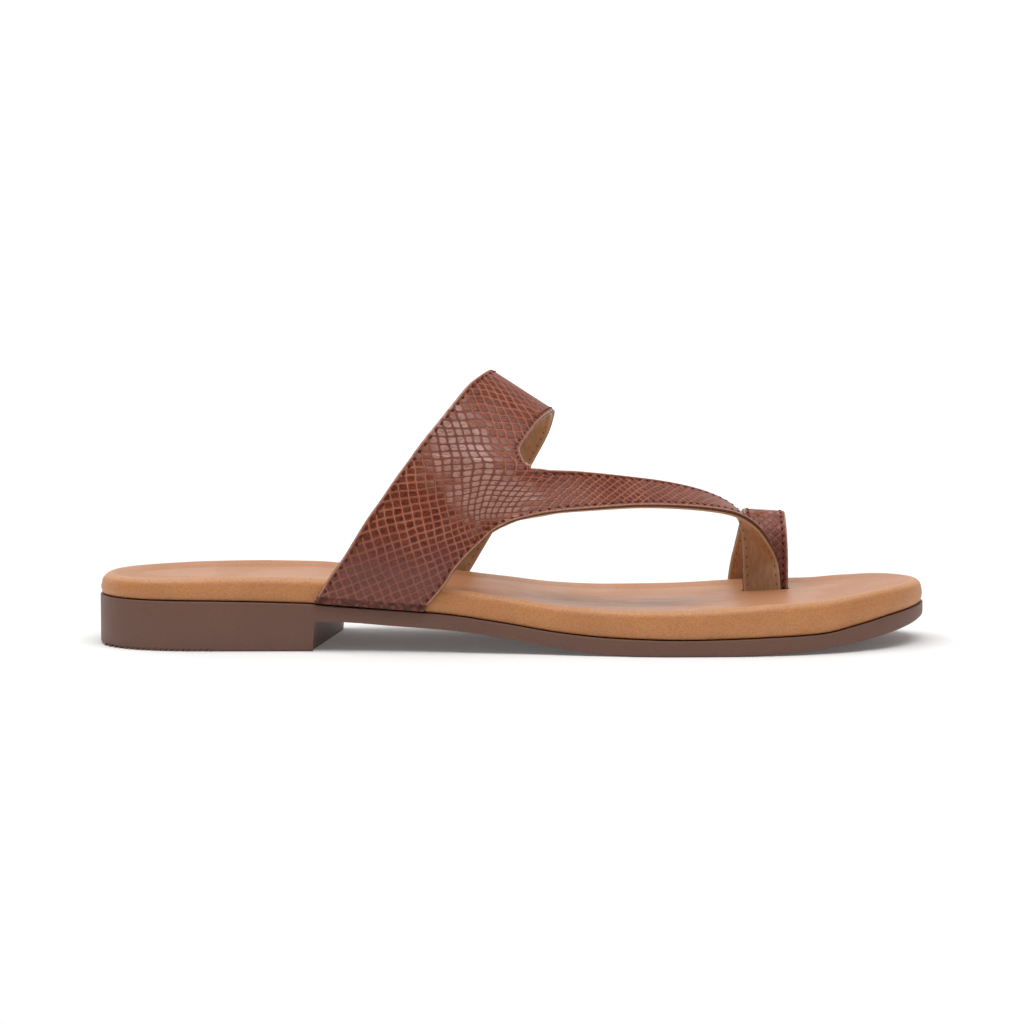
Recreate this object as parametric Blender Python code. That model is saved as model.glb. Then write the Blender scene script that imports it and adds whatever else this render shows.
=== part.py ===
"""A woman's flat slide sandal with a toe loop, for the right foot.

X runs from the heel to the toe, +Y is the inner (big toe) side and +Z is up.
The sandal stands on the plane z = 0, with the origin under the middle of its box.
All lengths are in metres.
"""
from bisect import bisect_right
from math import asin, cos, pi, sin

import bpy
from mathutils import Vector

MM = 0.001

# The sole seen from above
SOLE_LENGTH = 255.0 * MM
HEEL_WIDTH = 60.0 * MM
WAIST_WIDTH = 66.0 * MM
BALL_WIDTH = 88.0 * MM
HEEL_ROUND = 34.0 * MM
HEEL_SQUARENESS = 2.4
TOE_ROUND = 55.0 * MM
TOE_TIP_INWARD = 6.0 * MM

# The sole seen from the side
HEEL_HEIGHT = 15.0 * MM
HEEL_BLOCK_LENGTH = 70.2 * MM
BREAST_SKEW = 6.3 * MM
BREAST_DRAFT = 0.5 * MM
BREAST_SLANT_REACH = 0.12
ARCH_RISE = 9.0 * MM
FOREPART_EDGE = 4.8 * MM
TOE_SPRING = 8.6 * MM
TREAD_ROUND = 0.9 * MM

# The padded footbed
FOOTBED_EDGE = 7.2 * MM
FOOTBED_ROUND = 3.0 * MM
FOOTBED_RIM = 9.0 * MM
HEEL_CUP = 2.2 * MM
FOREFOOT_DISH = 1.6 * MM
LEDGE = 1.0 * MM
FOOT_BEVEL = 0.35 * MM

# The straps
INSTEP_HEIGHT = 84.0 * MM
STRAP_WALL = 1.9 * MM
LOOP_HEIGHT = 38.6 * MM
POST_INWARD = 16.5 * MM
LASTING_MARGIN = 8.0 * MM
SLOT_ROOM = 0.45 * MM

# What keeps curved pieces apart
CLEARANCE = 0.3 * MM

# Where the straps meet the sole, as shares of its length from the heel: heel edge and
# toe edge at the hem, then heel edge and toe edge where they pass the footbed's rim
BAND_OUTER_HEM = ((0.266, 0.396), (0.284, 0.420))
BAND_INNER_HEM = ((0.305, 0.432), (0.320, 0.449))
LOOP_INNER_HEM = ((0.769, 0.829), (0.772, 0.830))

# Facets
HEEL_STEPS = 9
SHANK_STEPS = 22
TOE_STEPS = 12
CAP_STEPS = 8
BAND_COLUMNS = 8
LOOP_COLUMNS = 4
LOOP_ROWS_BETWEEN = 2
ROWS_BETWEEN = 3
CUTTER_STEPS = 8

# Shape of the edges: parts of the tread's rounding, the welt's bevel, and how the footbed's
# side leans in, ends under its rounding and falls into the dish
TREAD_BEVEL = 0.3
WELT_BEVEL = 0.35
SIDE_PART = 0.92
RIM_TOP = 1.1
DISH_MIDDLE = 0.28
DISH_EDGE = 0.66


def smooth_table(rows, place):
    """Read a table, whose first column is the place, by a smooth curve without overshoot."""
    places = [row[0] for row in rows]
    if place <= places[0]:
        return rows[0][1:]
    if place >= places[-1]:
        return rows[-1][1:]
    k = bisect_right(places, place) - 1
    step = places[k + 1] - places[k]
    t = (place - places[k]) / step
    values = []
    for column in range(1, len(rows[0])):
        start_slope = table_slope(rows, k, column)
        end_slope = table_slope(rows, k + 1, column)
        a, b = rows[k][column], rows[k + 1][column]
        values.append(
            (1 + 2 * t) * (1 - t) ** 2 * a + t * (1 - t) ** 2 * step * start_slope
            + t * t * (3 - 2 * t) * b - t * t * (1 - t) * step * end_slope
        )
    return values


def table_slope(rows, k, column):
    """Slope of one column at a row: the harmonic mean of its neighbours, or flat at a turn."""
    if k == 0 or k == len(rows) - 1:
        i = min(k, len(rows) - 2)
        return (rows[i + 1][column] - rows[i][column]) / (rows[i + 1][0] - rows[i][0])
    before = (rows[k][column] - rows[k - 1][column]) / (rows[k][0] - rows[k - 1][0])
    after = (rows[k + 1][column] - rows[k][column]) / (rows[k + 1][0] - rows[k][0])
    if before * after <= 0:
        return 0.0
    return 2 * before * after / (before + after)


# Half-widths of the sole. Columns: along, outer half-width, inner half-width
PLAN = (
    (0.00, 0.500 * HEEL_WIDTH, 0.490 * HEEL_WIDTH),
    (0.14, 0.507 * HEEL_WIDTH, 0.500 * HEEL_WIDTH),
    (0.26, 0.503 * HEEL_WIDTH, 0.497 * HEEL_WIDTH),
    (0.36, 0.480 * WAIST_WIDTH, 0.448 * WAIST_WIDTH),
    (0.44, 0.530 * WAIST_WIDTH, 0.455 * WAIST_WIDTH),
    (0.52, 0.430 * BALL_WIDTH, 0.395 * BALL_WIDTH),
    (0.60, 0.478 * BALL_WIDTH, 0.448 * BALL_WIDTH),
    (0.68, 0.508 * BALL_WIDTH, 0.482 * BALL_WIDTH),
    (0.75, 0.502 * BALL_WIDTH, 0.490 * BALL_WIDTH),
    (0.82, 0.475 * BALL_WIDTH, 0.478 * BALL_WIDTH),
    (1.00, 0.430 * BALL_WIDTH, 0.460 * BALL_WIDTH),
)

# Heights of the sole's upper edge, where the footbed starts. Columns: along, height
WELT = (
    (0.000, 1.010 * HEEL_HEIGHT),
    (0.060, 1.005 * HEEL_HEIGHT),
    (0.130, 1.000 * HEEL_HEIGHT),
    (0.250, 0.955 * HEEL_HEIGHT),
    (0.300, 0.893 * HEEL_HEIGHT),
    (0.420, 0.760 * HEEL_HEIGHT),
    (0.484, 0.617 * HEEL_HEIGHT),
    (0.557, 0.430 * HEEL_HEIGHT),
    (0.620, 1.085 * FOREPART_EDGE),
    (0.700, 0.990 * FOREPART_EDGE),
    (0.800, 1.110 * FOREPART_EDGE),
    (0.860, 0.680 * TOE_SPRING),
    (0.912, 0.950 * TOE_SPRING),
    (0.950, 1.175 * TOE_SPRING),
    (1.000, 1.390 * TOE_SPRING),
)

# Rise of the underside in front of the heel block. Columns: along, height
UNDERSIDE = (
    (0.000, 1.000 * ARCH_RISE),
    (0.290, 0.980 * ARCH_RISE),
    (0.360, 0.860 * ARCH_RISE),
    (0.433, 0.730 * ARCH_RISE),
    (0.504, 0.450 * ARCH_RISE),
    (0.560, 0.190 * ARCH_RISE),
    (0.610, 0.040 * ARCH_RISE),
    (0.640, 0.0),
    (0.760, 0.0),
    (0.820, 0.070 * TOE_SPRING),
    (0.880, 0.220 * TOE_SPRING),
    (0.940, 0.500 * TOE_SPRING),
    (0.975, 0.720 * TOE_SPRING),
    (1.000, 0.920 * TOE_SPRING),
)

# The footbed's rim and dish. Columns: along, rim above the welt, depth of the dish,
# how far its side stands back from the sole's
FOOTBED = (
    (0.00, 0.82 * FOOTBED_EDGE, 0.80 * HEEL_CUP, 0.50 * LEDGE),
    (0.05, 0.84 * FOOTBED_EDGE, 0.90 * HEEL_CUP, 0.75 * LEDGE),
    (0.12, 0.92 * FOOTBED_EDGE, 1.00 * HEEL_CUP, 1.00 * LEDGE),
    (0.20, 1.00 * FOOTBED_EDGE, 1.00 * HEEL_CUP, 1.00 * LEDGE),
    (0.30, 1.04 * FOOTBED_EDGE, 0.85 * HEEL_CUP, 1.00 * LEDGE),
    (0.50, 1.06 * FOOTBED_EDGE, 0.80 * FOREFOOT_DISH, 1.00 * LEDGE),
    (0.70, 1.20 * FOOTBED_EDGE, 1.00 * FOREFOOT_DISH, 1.00 * LEDGE),
    (0.80, 1.31 * FOOTBED_EDGE, 0.95 * FOREFOOT_DISH, 1.00 * LEDGE),
    (0.85, 1.33 * FOOTBED_EDGE, 0.90 * FOREFOOT_DISH, 1.00 * LEDGE),
    (0.94, 1.13 * FOOTBED_EDGE, 0.60 * FOREFOOT_DISH, 0.80 * LEDGE),
    (1.00, 0.93 * FOOTBED_EDGE, 0.40 * FOREFOOT_DISH, 0.50 * LEDGE),
)

HALF_BALL = 0.5 * BALL_WIDTH
BREAST_SHARE = HEEL_BLOCK_LENGTH / SOLE_LENGTH

# Edges of the instep band above the footbed, from its outer to its inner side.
# Columns: heel edge along, inward, up, toe edge along, inward, up
BAND = (
    (0.302, -0.715, 0.349, 0.432, -0.788, 0.300),
    (0.326, -0.703, 0.468, 0.452, -0.757, 0.366),
    (0.344, -0.675, 0.545, 0.471, -0.722, 0.422),
    (0.361, -0.632, 0.620, 0.501, -0.635, 0.545),
    (0.379, -0.580, 0.694, 0.521, -0.535, 0.652),
    (0.382, -0.569, 0.708, 0.515, -0.516, 0.665),
    (0.388, -0.550, 0.732, 0.511, -0.487, 0.684),
    (0.396, -0.520, 0.764, 0.508, -0.436, 0.718),
    (0.408, -0.470, 0.808, 0.517, -0.368, 0.760),
    (0.425, -0.390, 0.871, 0.530, -0.248, 0.808),
    (0.447, -0.240, 0.948, 0.541, -0.110, 0.831),
    (0.470, 0.030, 0.990, 0.549, 0.070, 0.836),
    (0.465, 0.280, 0.950, 0.548, 0.260, 0.800),
    (0.445, 0.450, 0.856, 0.541, 0.410, 0.733),
    (0.408, 0.605, 0.680, 0.518, 0.556, 0.600),
    (0.370, 0.685, 0.490, 0.483, 0.668, 0.410),
    (0.340, 0.695, 0.340, 0.460, 0.702, 0.290),
)
BRANCH_FROM_ROW = 2
BRANCH_TO_ROW = 4
# Rows of the strap over which the bow of the band's edge fades out
BOW_ROWS = 6

# Edges of the diagonal strap, from the band to the toe post.
# Columns: heel edge along, inward, up, toe edge along, inward, up
DIAGONAL = (
    (0.530, -0.530, 0.650, 0.486, -0.718, 0.448),
    (0.545, -0.524, 0.646, 0.506, -0.712, 0.473),
    (0.571, -0.470, 0.639, 0.547, -0.706, 0.498),
    (0.606, -0.372, 0.624, 0.598, -0.645, 0.509),
    (0.641, -0.260, 0.607, 0.649, -0.518, 0.513),
    (0.676, -0.130, 0.588, 0.692, -0.362, 0.505),
    (0.710, 0.000, 0.563, 0.731, -0.198, 0.490),
    (0.739, 0.123, 0.531, 0.763, -0.059, 0.470),
    (0.762, 0.232, 0.492, 0.785, 0.059, 0.440),
    (0.776, 0.310, 0.448, 0.803, 0.159, 0.394),
    (0.781, 0.345, 0.393, 0.816, 0.245, 0.340),
)
# The post of the diagonal strap. Columns: heel edge along, up, toe edge along, up
POST = (
    (0.782, 0.320, 0.826, 0.280),
    (0.783, 0.230, 0.830, 0.205),
    (0.784, 0.130, 0.831, 0.130),
)

# The loop above its outer leg, from the slot to the inner side.
# Columns: heel edge along, inward, toe edge along, inward, height as a share of the loop's
LOOP = (
    (0.788, 0.407, 0.840, 0.407, 0.600),
    (0.787, 0.425, 0.839, 0.425, 0.790),
    (0.786, 0.495, 0.838, 0.490, 0.920),
    (0.786, 0.600, 0.838, 0.595, 0.975),
    (0.785, 0.715, 0.837, 0.705, 0.945),
    (0.784, 0.820, 0.835, 0.800, 0.840),
    (0.780, 0.895, 0.833, 0.865, 0.690),
    (0.775, 0.945, 0.831, 0.900, 0.530),
)
LOOP_TILT = 0.020


def along(share):
    """Place on the X axis of a share of the sole's length, counted from the heel."""
    return (share - 0.5) * SOLE_LENGTH


def stations(breast):
    """Shares of the length where the sole is cut, closer together at its round ends."""
    heel_share = HEEL_ROUND / SOLE_LENGTH
    toe_share = TOE_ROUND / SOLE_LENGTH
    heel = [heel_share * (1 - cos(0.5 * pi * i / HEEL_STEPS)) for i in range(HEEL_STEPS)]
    toe = [1 - toe_share * (1 - cos(0.5 * pi * i / TOE_STEPS)) for i in range(TOE_STEPS)]
    shank_length = 1 - heel_share - toe_share
    shank = [heel_share + shank_length * i / SHANK_STEPS for i in range(SHANK_STEPS + 1)]
    shares = sorted(heel + shank + toe)
    if breast:
        near = 0.5 * shank_length / SHANK_STEPS
        front = BREAST_SHARE + BREAST_DRAFT / SOLE_LENGTH
        shares = [s for s in shares if not BREAST_SHARE - near < s < front + near]
        shares = sorted(shares + [BREAST_SHARE, front])
    return shares


def outline(share, side, inset=0.0):
    """Point of the sole's outline, on the outer (-1) or inner (+1) side, moved in by inset."""
    x = along(share)
    heel_end = -0.5 * SOLE_LENGTH
    toe_end = 0.5 * SOLE_LENGTH
    outer, inner = smooth_table(PLAN, share)
    half = (outer if side < 0 else inner) - inset
    if x < heel_end + HEEL_ROUND:
        reach = min(1.0, max(0.0, (heel_end + HEEL_ROUND - x) / HEEL_ROUND))
        x_in = heel_end + HEEL_ROUND - (HEEL_ROUND - inset) * reach
        return x_in, side * half * (1 - reach ** HEEL_SQUARENESS) ** (1 / HEEL_SQUARENESS)
    if x > toe_end - TOE_ROUND:
        angle = asin(min(1.0, max(0.0, (x - toe_end + TOE_ROUND) / TOE_ROUND)))
        x_in = toe_end - TOE_ROUND + (TOE_ROUND - inset) * sin(angle)
        tip = TOE_TIP_INWARD
        return x_in, tip + (side * half - tip) * cos(angle)
    return x, side * half


def welt_height(x):
    return smooth_table(WELT, x / SOLE_LENGTH + 0.5)[0]


def underside_height(x, on_heel):
    return 0.0 if on_heel else smooth_table(UNDERSIDE, x / SOLE_LENGTH + 0.5)[0]


def rim_height(x):
    return welt_height(x) + CLEARANCE + smooth_table(FOOTBED, x / SOLE_LENGTH + 0.5)[0]


def dish_depth(x):
    return smooth_table(FOOTBED, x / SOLE_LENGTH + 0.5)[1]


def ledge_width(share):
    return smooth_table(FOOTBED, share)[2]


def breast_slant(share, side):
    """Share by which a cut runs forward on the inner side, full at the breast of the heel."""
    near = max(0.0, 1 - abs(share - BREAST_SHARE) / BREAST_SLANT_REACH)
    return 0.5 * side * near * near * BREAST_SKEW / SOLE_LENGTH


class Shell:
    """Vertices and faces of one mesh, put together piece by piece."""

    def __init__(self):
        self.points = []
        self.faces = []

    def point(self, x, y, z):
        self.points.append((x, y, z))
        return len(self.points) - 1

    def face(self, *corners):
        distinct = list(dict.fromkeys(corners))
        if len(distinct) > 2:
            self.faces.append(distinct)

    def as_object(self, name, material):
        mesh = bpy.data.meshes.new(name)
        mesh.from_pydata(self.points, [], self.faces)
        mesh.validate()
        mesh.materials.append(material)
        mesh.shade_smooth()
        mesh.set_sharp_from_angle(angle=0.6)
        solid = bpy.data.objects.new(name, mesh)
        bpy.context.scene.collection.objects.link(solid)
        return solid


def even(width):
    """An inset that is the same all along the sole."""
    return lambda share: width


def add_ring(shell, shares, inset, height):
    """One closed ring of the sole at an inset from its outline, as outer and inner rows."""
    rows = {}
    last = len(shares) - 1
    for side in (-1, 1):
        row = []
        for i, share in enumerate(shares):
            if side > 0 and i in (0, last):
                row.append(rows[-1][i])
                continue
            slanted = share + breast_slant(share, side)
            x, y = outline(slanted, side, inset(share))
            row.append(shell.point(x, y, height(x, share)))
        rows[side] = row
    return rows


def join_rings(shell, lower, upper):
    """Wall between two rings, with its faces pointing out."""
    for i in range(len(lower[1]) - 1):
        shell.face(lower[1][i + 1], lower[1][i], upper[1][i], upper[1][i + 1])
        shell.face(lower[-1][i], lower[-1][i + 1], upper[-1][i + 1], upper[-1][i])


def add_cap(shell, shares, ring, height, facing_up):
    """Close a ring with rows of faces across the sole."""
    rows = []
    for i, share in enumerate(shares):
        a, b = ring[-1][i], ring[1][i]
        if a == b:
            rows.append([a] * (CAP_STEPS + 1))
            continue
        ax, ay, _ = shell.points[a]
        bx, by, _ = shell.points[b]
        row = [a]
        for j in range(1, CAP_STEPS):
            t = j / CAP_STEPS
            x = ax + (bx - ax) * t
            row.append(shell.point(x, ay + (by - ay) * t, height(x, share, t)))
        rows.append(row + [b])
    for near, far in zip(rows, rows[1:]):
        for j in range(CAP_STEPS):
            corners = (near[j], far[j], far[j + 1], near[j + 1])
            shell.face(*(corners if facing_up else corners[::-1]))


def make_outsole(material):
    """The moulded unit sole: forepart, arch and heel block in one piece."""
    shares = stations(breast=True)

    def tread(x, share):
        return underside_height(x, share <= BREAST_SHARE)

    def tread_side(x, share):
        return tread(x, share) + TREAD_ROUND

    def tread_round(x, share):
        return tread(x, share) + TREAD_BEVEL * TREAD_ROUND

    def below_welt(x, share):
        return welt_height(x) - WELT_BEVEL * LEDGE

    shell = Shell()
    rings = [
        add_ring(shell, shares, even(TREAD_ROUND), tread),
        add_ring(shell, shares, even(TREAD_BEVEL * TREAD_ROUND), tread_round),
        add_ring(shell, shares, even(0.0), tread_side),
        add_ring(shell, shares, even(0.0), below_welt),
        add_ring(shell, shares, even(WELT_BEVEL * LEDGE), lambda x, share: welt_height(x)),
    ]
    for lower, upper in zip(rings, rings[1:]):
        join_rings(shell, lower, upper)
    add_cap(shell, shares, rings[0], lambda x, share, t: tread(x, share), facing_up=False)
    add_cap(shell, shares, rings[-1], lambda x, share, t: welt_height(x), facing_up=True)
    return shell.as_object("outsole", material)


def make_footbed(material):
    """The leather-wrapped footbed, with a rounded edge and a dished top."""
    shares = stations(breast=False)

    def inside(width):
        return lambda share: ledge_width(share) + width

    def base(x, share):
        return welt_height(x) + CLEARANCE

    def below_rim(part):
        return lambda x, share: rim_height(x) - part * FOOTBED_ROUND

    def dished(part):
        return lambda x, share: rim_height(x) - part * dish_depth(x)

    shell = Shell()
    rings = [
        add_ring(shell, shares, inside(FOOT_BEVEL), base),
        add_ring(shell, shares, inside(0.0), lambda x, share: base(x, share) + FOOT_BEVEL),
        add_ring(shell, shares, inside(0.0), below_rim(SIDE_PART)),
    ]
    for turn in (25, 50, 75):
        angle = turn * pi / 180
        inset = FOOTBED_ROUND * (1 - cos(angle))
        rings.append(add_ring(shell, shares, inside(inset), below_rim(SIDE_PART * (1 - sin(angle)))))
    crest = RIM_TOP * FOOTBED_ROUND
    rings.append(add_ring(shell, shares, inside(crest), dished(0.0)))
    rings.append(add_ring(shell, shares, inside(0.5 * (crest + FOOTBED_RIM)), dished(DISH_MIDDLE)))
    rings.append(add_ring(shell, shares, inside(FOOTBED_RIM), dished(DISH_EDGE)))
    for lower, upper in zip(rings, rings[1:]):
        join_rings(shell, lower, upper)

    def bowl(x, share, t):
        inset = ledge_width(share) + FOOTBED_RIM
        width = outline(share, 1, inset)[1] - outline(share, -1, inset)[1]
        fullness = sin(pi * t) * min(1.0, width / HALF_BALL) ** 2
        return rim_height(x) - dish_depth(x) * (DISH_EDGE + (1 - DISH_EDGE) * fullness)

    add_cap(shell, shares, rings[0], lambda x, share, t: base(x, share), facing_up=False)
    add_cap(shell, shares, rings[-1], bowl, facing_up=True)
    return shell.as_object("footbed", material)


def spline(points, steps):
    """Points on a smooth curve through the given ones, with steps between each two."""
    found = []
    for i in range(len(points) - 1):
        a, b = points[i], points[i + 1]
        before = points[i - 1] if i else a + (a - b)
        after = points[i + 2] if i + 2 < len(points) else b + (b - a)
        for j in range(steps):
            t = j / steps
            found.append(0.5 * (
                2 * a + (b - before) * t + (2 * before - 5 * a + 4 * b - after) * t * t
                + (3 * a - before - 3 * b + after) * t ** 3
            ))
    return found + [points[-1]]


def hem_point(share, side, inset, lift):
    """Point of a strap's wall at the edge of the footbed, lift above the sole's upper edge."""
    x, y = outline(share, side, inset)
    return Vector((x, y, welt_height(x) + lift))


HEM_INSET = LEDGE - CLEARANCE - 0.5 * STRAP_WALL
HEM_LIFT = CLEARANCE + 0.5 * STRAP_WALL


def hem_rows(hem, side):
    """The two edges of a strap's lasting margin: its inner end, its middle and its fold."""
    insets = (LASTING_MARGIN, 0.5 * LASTING_MARGIN, HEM_INSET)
    return [tuple(hem_point(share, side, inset, HEM_LIFT) for share in hem[0]) for inset in insets]


def rim_row(hem, side):
    """The two edges of a strap where it passes the rim of the footbed."""
    lift = FOOTBED_EDGE + STRAP_WALL
    return tuple(hem_point(share, side, HEM_INSET, lift) for share in hem[1])


def upper_point(share, inward, up):
    return Vector((along(share), inward * HALF_BALL, up * INSTEP_HEIGHT))


def band_edges():
    """Heel edge and toe edge of the band, from fold to fold, as two rows of points."""
    outer, outer_rim = hem_rows(BAND_OUTER_HEM, -1), rim_row(BAND_OUTER_HEM, -1)
    inner, inner_rim = hem_rows(BAND_INNER_HEM, 1), rim_row(BAND_INNER_HEM, 1)
    edges = []
    for side in (0, 1):
        free = [upper_point(*row[3 * side:3 * side + 3]) for row in BAND]
        whole = [outer[-1][side], outer_rim[side]] + free + [inner_rim[side], inner[-1][side]]
        edges.append(spline(whole, ROWS_BETWEEN))
    return outer, edges, inner


def diagonal_edges(start_heel, start_toe):
    """Heel edge and toe edge of the diagonal strap, from the band down into the slot."""
    post_y = POST_INWARD - 0.5 * (STRAP_WALL + CLEARANCE)
    heel = [start_heel] + [upper_point(*row[:3]) for row in DIAGONAL]
    toe = [start_toe] + [upper_point(*row[3:]) for row in DIAGONAL]
    for heel_share, heel_up, toe_share, toe_up in POST:
        heel.append(Vector((along(heel_share), post_y, heel_up * INSTEP_HEIGHT)))
        toe.append(Vector((along(toe_share), post_y, toe_up * INSTEP_HEIGHT)))
    for edge in (heel, toe):
        x = edge[-1].x
        edge.append(Vector((x, post_y, welt_height(x) + CLEARANCE)))
    return spline(heel, ROWS_BETWEEN), spline(toe, ROWS_BETWEEN)


def bridge(shell, rows):
    """Faces between rows of vertices of equal length."""
    for near, far in zip(rows, rows[1:]):
        for j in range(len(near) - 1):
            shell.face(near[j], far[j], far[j + 1], near[j + 1])


def add_row(shell, start, end, columns, bow=None):
    """A row of vertices from one edge to the other, each moved by its step of the bow."""
    spots = [start.lerp(end, j / columns) for j in range(columns + 1)]
    if bow:
        spots = [spot + step for spot, step in zip(spots, bow)]
    return [shell.point(*spot) for spot in spots]


def give_wall(solid):
    """Give a sheet its real thickness, half to each side."""
    wall = solid.modifiers.new("wall", "SOLIDIFY")
    wall.thickness = STRAP_WALL
    wall.offset = 0.0
    wall.use_even_offset = True
    wall.use_quality_normals = True
    return solid


def make_upper(material):
    """The instep band and the diagonal strap, cut in one, with the post that enters the slot."""
    shell = Shell()
    outer, band, inner = band_edges()
    rows = [add_row(shell, *pair, BAND_COLUMNS) for pair in outer[:-1]]
    rows += [add_row(shell, *pair, BAND_COLUMNS) for pair in zip(*band)]
    rows += [add_row(shell, *pair, BAND_COLUMNS) for pair in reversed(inner[:-1])]
    bridge(shell, [row[::-1] for row in rows])

    margin = len(outer) - 1
    first = margin + (BRANCH_FROM_ROW + 2) * ROWS_BETWEEN
    last = margin + (BRANCH_TO_ROW + 2) * ROWS_BETWEEN
    root = [rows[k][-1] for k in range(last, first - 1, -1)]
    start_heel = Vector(shell.points[root[0]])
    start_toe = Vector(shell.points[root[-1]])
    edges = diagonal_edges(start_heel, start_toe)
    columns = len(root) - 1
    straight = [start_heel.lerp(start_toe, j / columns) for j in range(columns + 1)]
    bow = [Vector(shell.points[k]) - spot for k, spot in zip(root, straight)]
    strap = [root]
    for k, pair in enumerate(list(zip(*edges))[1:], 1):
        fading = max(0, 1 - k / BOW_ROWS)
        strap.append(add_row(shell, *pair, columns, [fading * step for step in bow]))
    bridge(shell, [row[::-1] for row in strap])
    return give_wall(shell.as_object("upper", material))


def make_toe_loop(material):
    """The strip over the big toe, from the slot to the inner edge of the footbed."""
    shell = Shell()
    post_y = POST_INWARD + 0.5 * (STRAP_WALL + CLEARANCE)
    inner, inner_rim = hem_rows(LOOP_INNER_HEM, 1), rim_row(LOOP_INNER_HEM, 1)
    edges = []
    for side in (0, 1):
        x = along(LOOP[0][2 * side])
        low = welt_height(x) + CLEARANCE
        middle = 0.5 * (low + LOOP[0][-1] * LOOP_HEIGHT)
        edge = [Vector((x, post_y, low)), Vector((x, post_y, middle))]
        for row in LOOP:
            share, inward = row[2 * side:2 * side + 2]
            height = row[-1] * LOOP_HEIGHT * (1 - side * LOOP_TILT)
            edge.append(Vector((along(share), max(post_y, inward * HALF_BALL), height)))
        edges.append(edge + [inner_rim[side], inner[-1][side]])
    smooth = [spline(edge, LOOP_ROWS_BETWEEN) for edge in edges]
    rows = [add_row(shell, *pair, LOOP_COLUMNS) for pair in zip(*smooth)]
    rows += [add_row(shell, *pair, LOOP_COLUMNS) for pair in reversed(inner[:-1])]
    bridge(shell, [row[::-1] for row in rows])
    return give_wall(shell.as_object("toe_loop", material))


def make_margin_cutter(name, hem, side, material):
    """The room in the footbed's underside for a strap's lasting margin."""
    shell = Shell()
    extra = CLEARANCE / SOLE_LENGTH
    start, end = hem[0][0] - extra, hem[0][1] + extra
    top = HEM_LIFT + 0.5 * STRAP_WALL + CLEARANCE
    depth = LASTING_MARGIN + CLEARANCE
    sections = []
    for i in range(CUTTER_STEPS + 1):
        share = start + (end - start) * i / CUTTER_STEPS
        outside, below = -2 * LEDGE, -FOREPART_EDGE
        corners = ((outside, below), (outside, top), (depth, top), (depth, below))
        sections.append([shell.point(*hem_point(share, side, *corner)) for corner in corners])
    for near, far in zip(sections, sections[1:]):
        for j in range(4):
            k = (j + 1) % 4
            corners = (near[j], near[k], far[k], far[j])
            shell.face(*(corners[::-1] if side < 0 else corners))
    shell.face(*(sections[0] if side < 0 else sections[0][::-1]))
    shell.face(*(sections[-1][::-1] if side < 0 else sections[-1]))
    return as_cutter(shell.as_object(name, material))


def make_slot_cutter(material):
    """The slot in the footbed for the two legs of the toe post."""
    heel_x = along(POST[-1][0]) - 2 * CLEARANCE
    toe_x = along(LOOP[0][2]) + 2 * CLEARANCE
    half = STRAP_WALL + SLOT_ROOM
    x_steps = ((heel_x, -1), (toe_x, -1), (toe_x, 1), (heel_x, 1))
    shell = Shell()
    low = [shell.point(x, POST_INWARD + side * half, 0.0) for x, side in x_steps]
    high = [shell.point(x, POST_INWARD + side * half, LOOP_HEIGHT) for x, side in x_steps]
    for j in range(4):
        k = (j + 1) % 4
        shell.face(low[j], low[k], high[k], high[j])
    shell.face(*low[::-1])
    shell.face(*high)
    return as_cutter(shell.as_object("slot_cutter", material))


def as_cutter(solid):
    solid.hide_render = True
    solid.display_type = "WIRE"
    return solid


def cut(solid, cutter):
    """Take the cutter's shape out of a solid."""
    boolean = solid.modifiers.new(cutter.name, "BOOLEAN")
    boolean.operation = "DIFFERENCE"
    boolean.solver = "EXACT"
    boolean.object = cutter


def plain_material(name, colour, roughness):
    material = bpy.data.materials.new(name)
    material.use_nodes = True
    shader = material.node_tree.nodes["Principled BSDF"]
    shader.inputs["Base Color"].default_value = (*colour, 1.0)
    shader.inputs["Roughness"].default_value = roughness
    shader.inputs["Metallic"].default_value = 0.0
    return material


def centre_on_origin():
    """Put the origin under the middle of the whole sandal's box, across its width."""
    bpy.context.view_layer.update()
    surroundings = bpy.context.evaluated_depsgraph_get()
    sides = []
    for solid in bpy.data.objects:
        if not solid.hide_render:
            mesh = solid.evaluated_get(surroundings).to_mesh()
            sides += [vertex.co.y for vertex in mesh.vertices]
    for solid in bpy.data.objects:
        solid.location.y = -0.5 * (min(sides) + max(sides))


def main():
    for old in list(bpy.data.objects):
        bpy.data.objects.remove(old)
    make_outsole(plain_material("sole_rubber", (0.17, 0.11, 0.085), 0.6))
    footbed = make_footbed(plain_material("footbed_leather", (0.40, 0.18, 0.08), 0.5))
    room = plain_material("cutter", (0.5, 0.5, 0.5), 0.5)
    cutters = [
        make_slot_cutter(room),
        make_margin_cutter("band_outer_room", BAND_OUTER_HEM, -1, room),
        make_margin_cutter("band_inner_room", BAND_INNER_HEM, 1, room),
        make_margin_cutter("loop_inner_room", LOOP_INNER_HEM, 1, room),
    ]
    for cutter in cutters:
        cut(footbed, cutter)
    make_upper(plain_material("snake_leather", (0.22, 0.07, 0.04), 0.45))
    make_toe_loop(plain_material("snake_leather_loop", (0.22, 0.07, 0.04), 0.45))
    centre_on_origin()


main()
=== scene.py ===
# %% [markdown]
# # A toe loop sandal in embossed snake leather
# This lesson dresses a flat slide sandal for the right foot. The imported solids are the
# fixed frame. Every piece below is a finer mesh of the same shape, in the same place,
# with the finish that the real sandal shows.

from bisect import bisect_right
from math import asin, cos, exp, pi, radians, sin

import bpy
import numpy as np
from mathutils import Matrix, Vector
from mathutils.kdtree import KDTree


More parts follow.
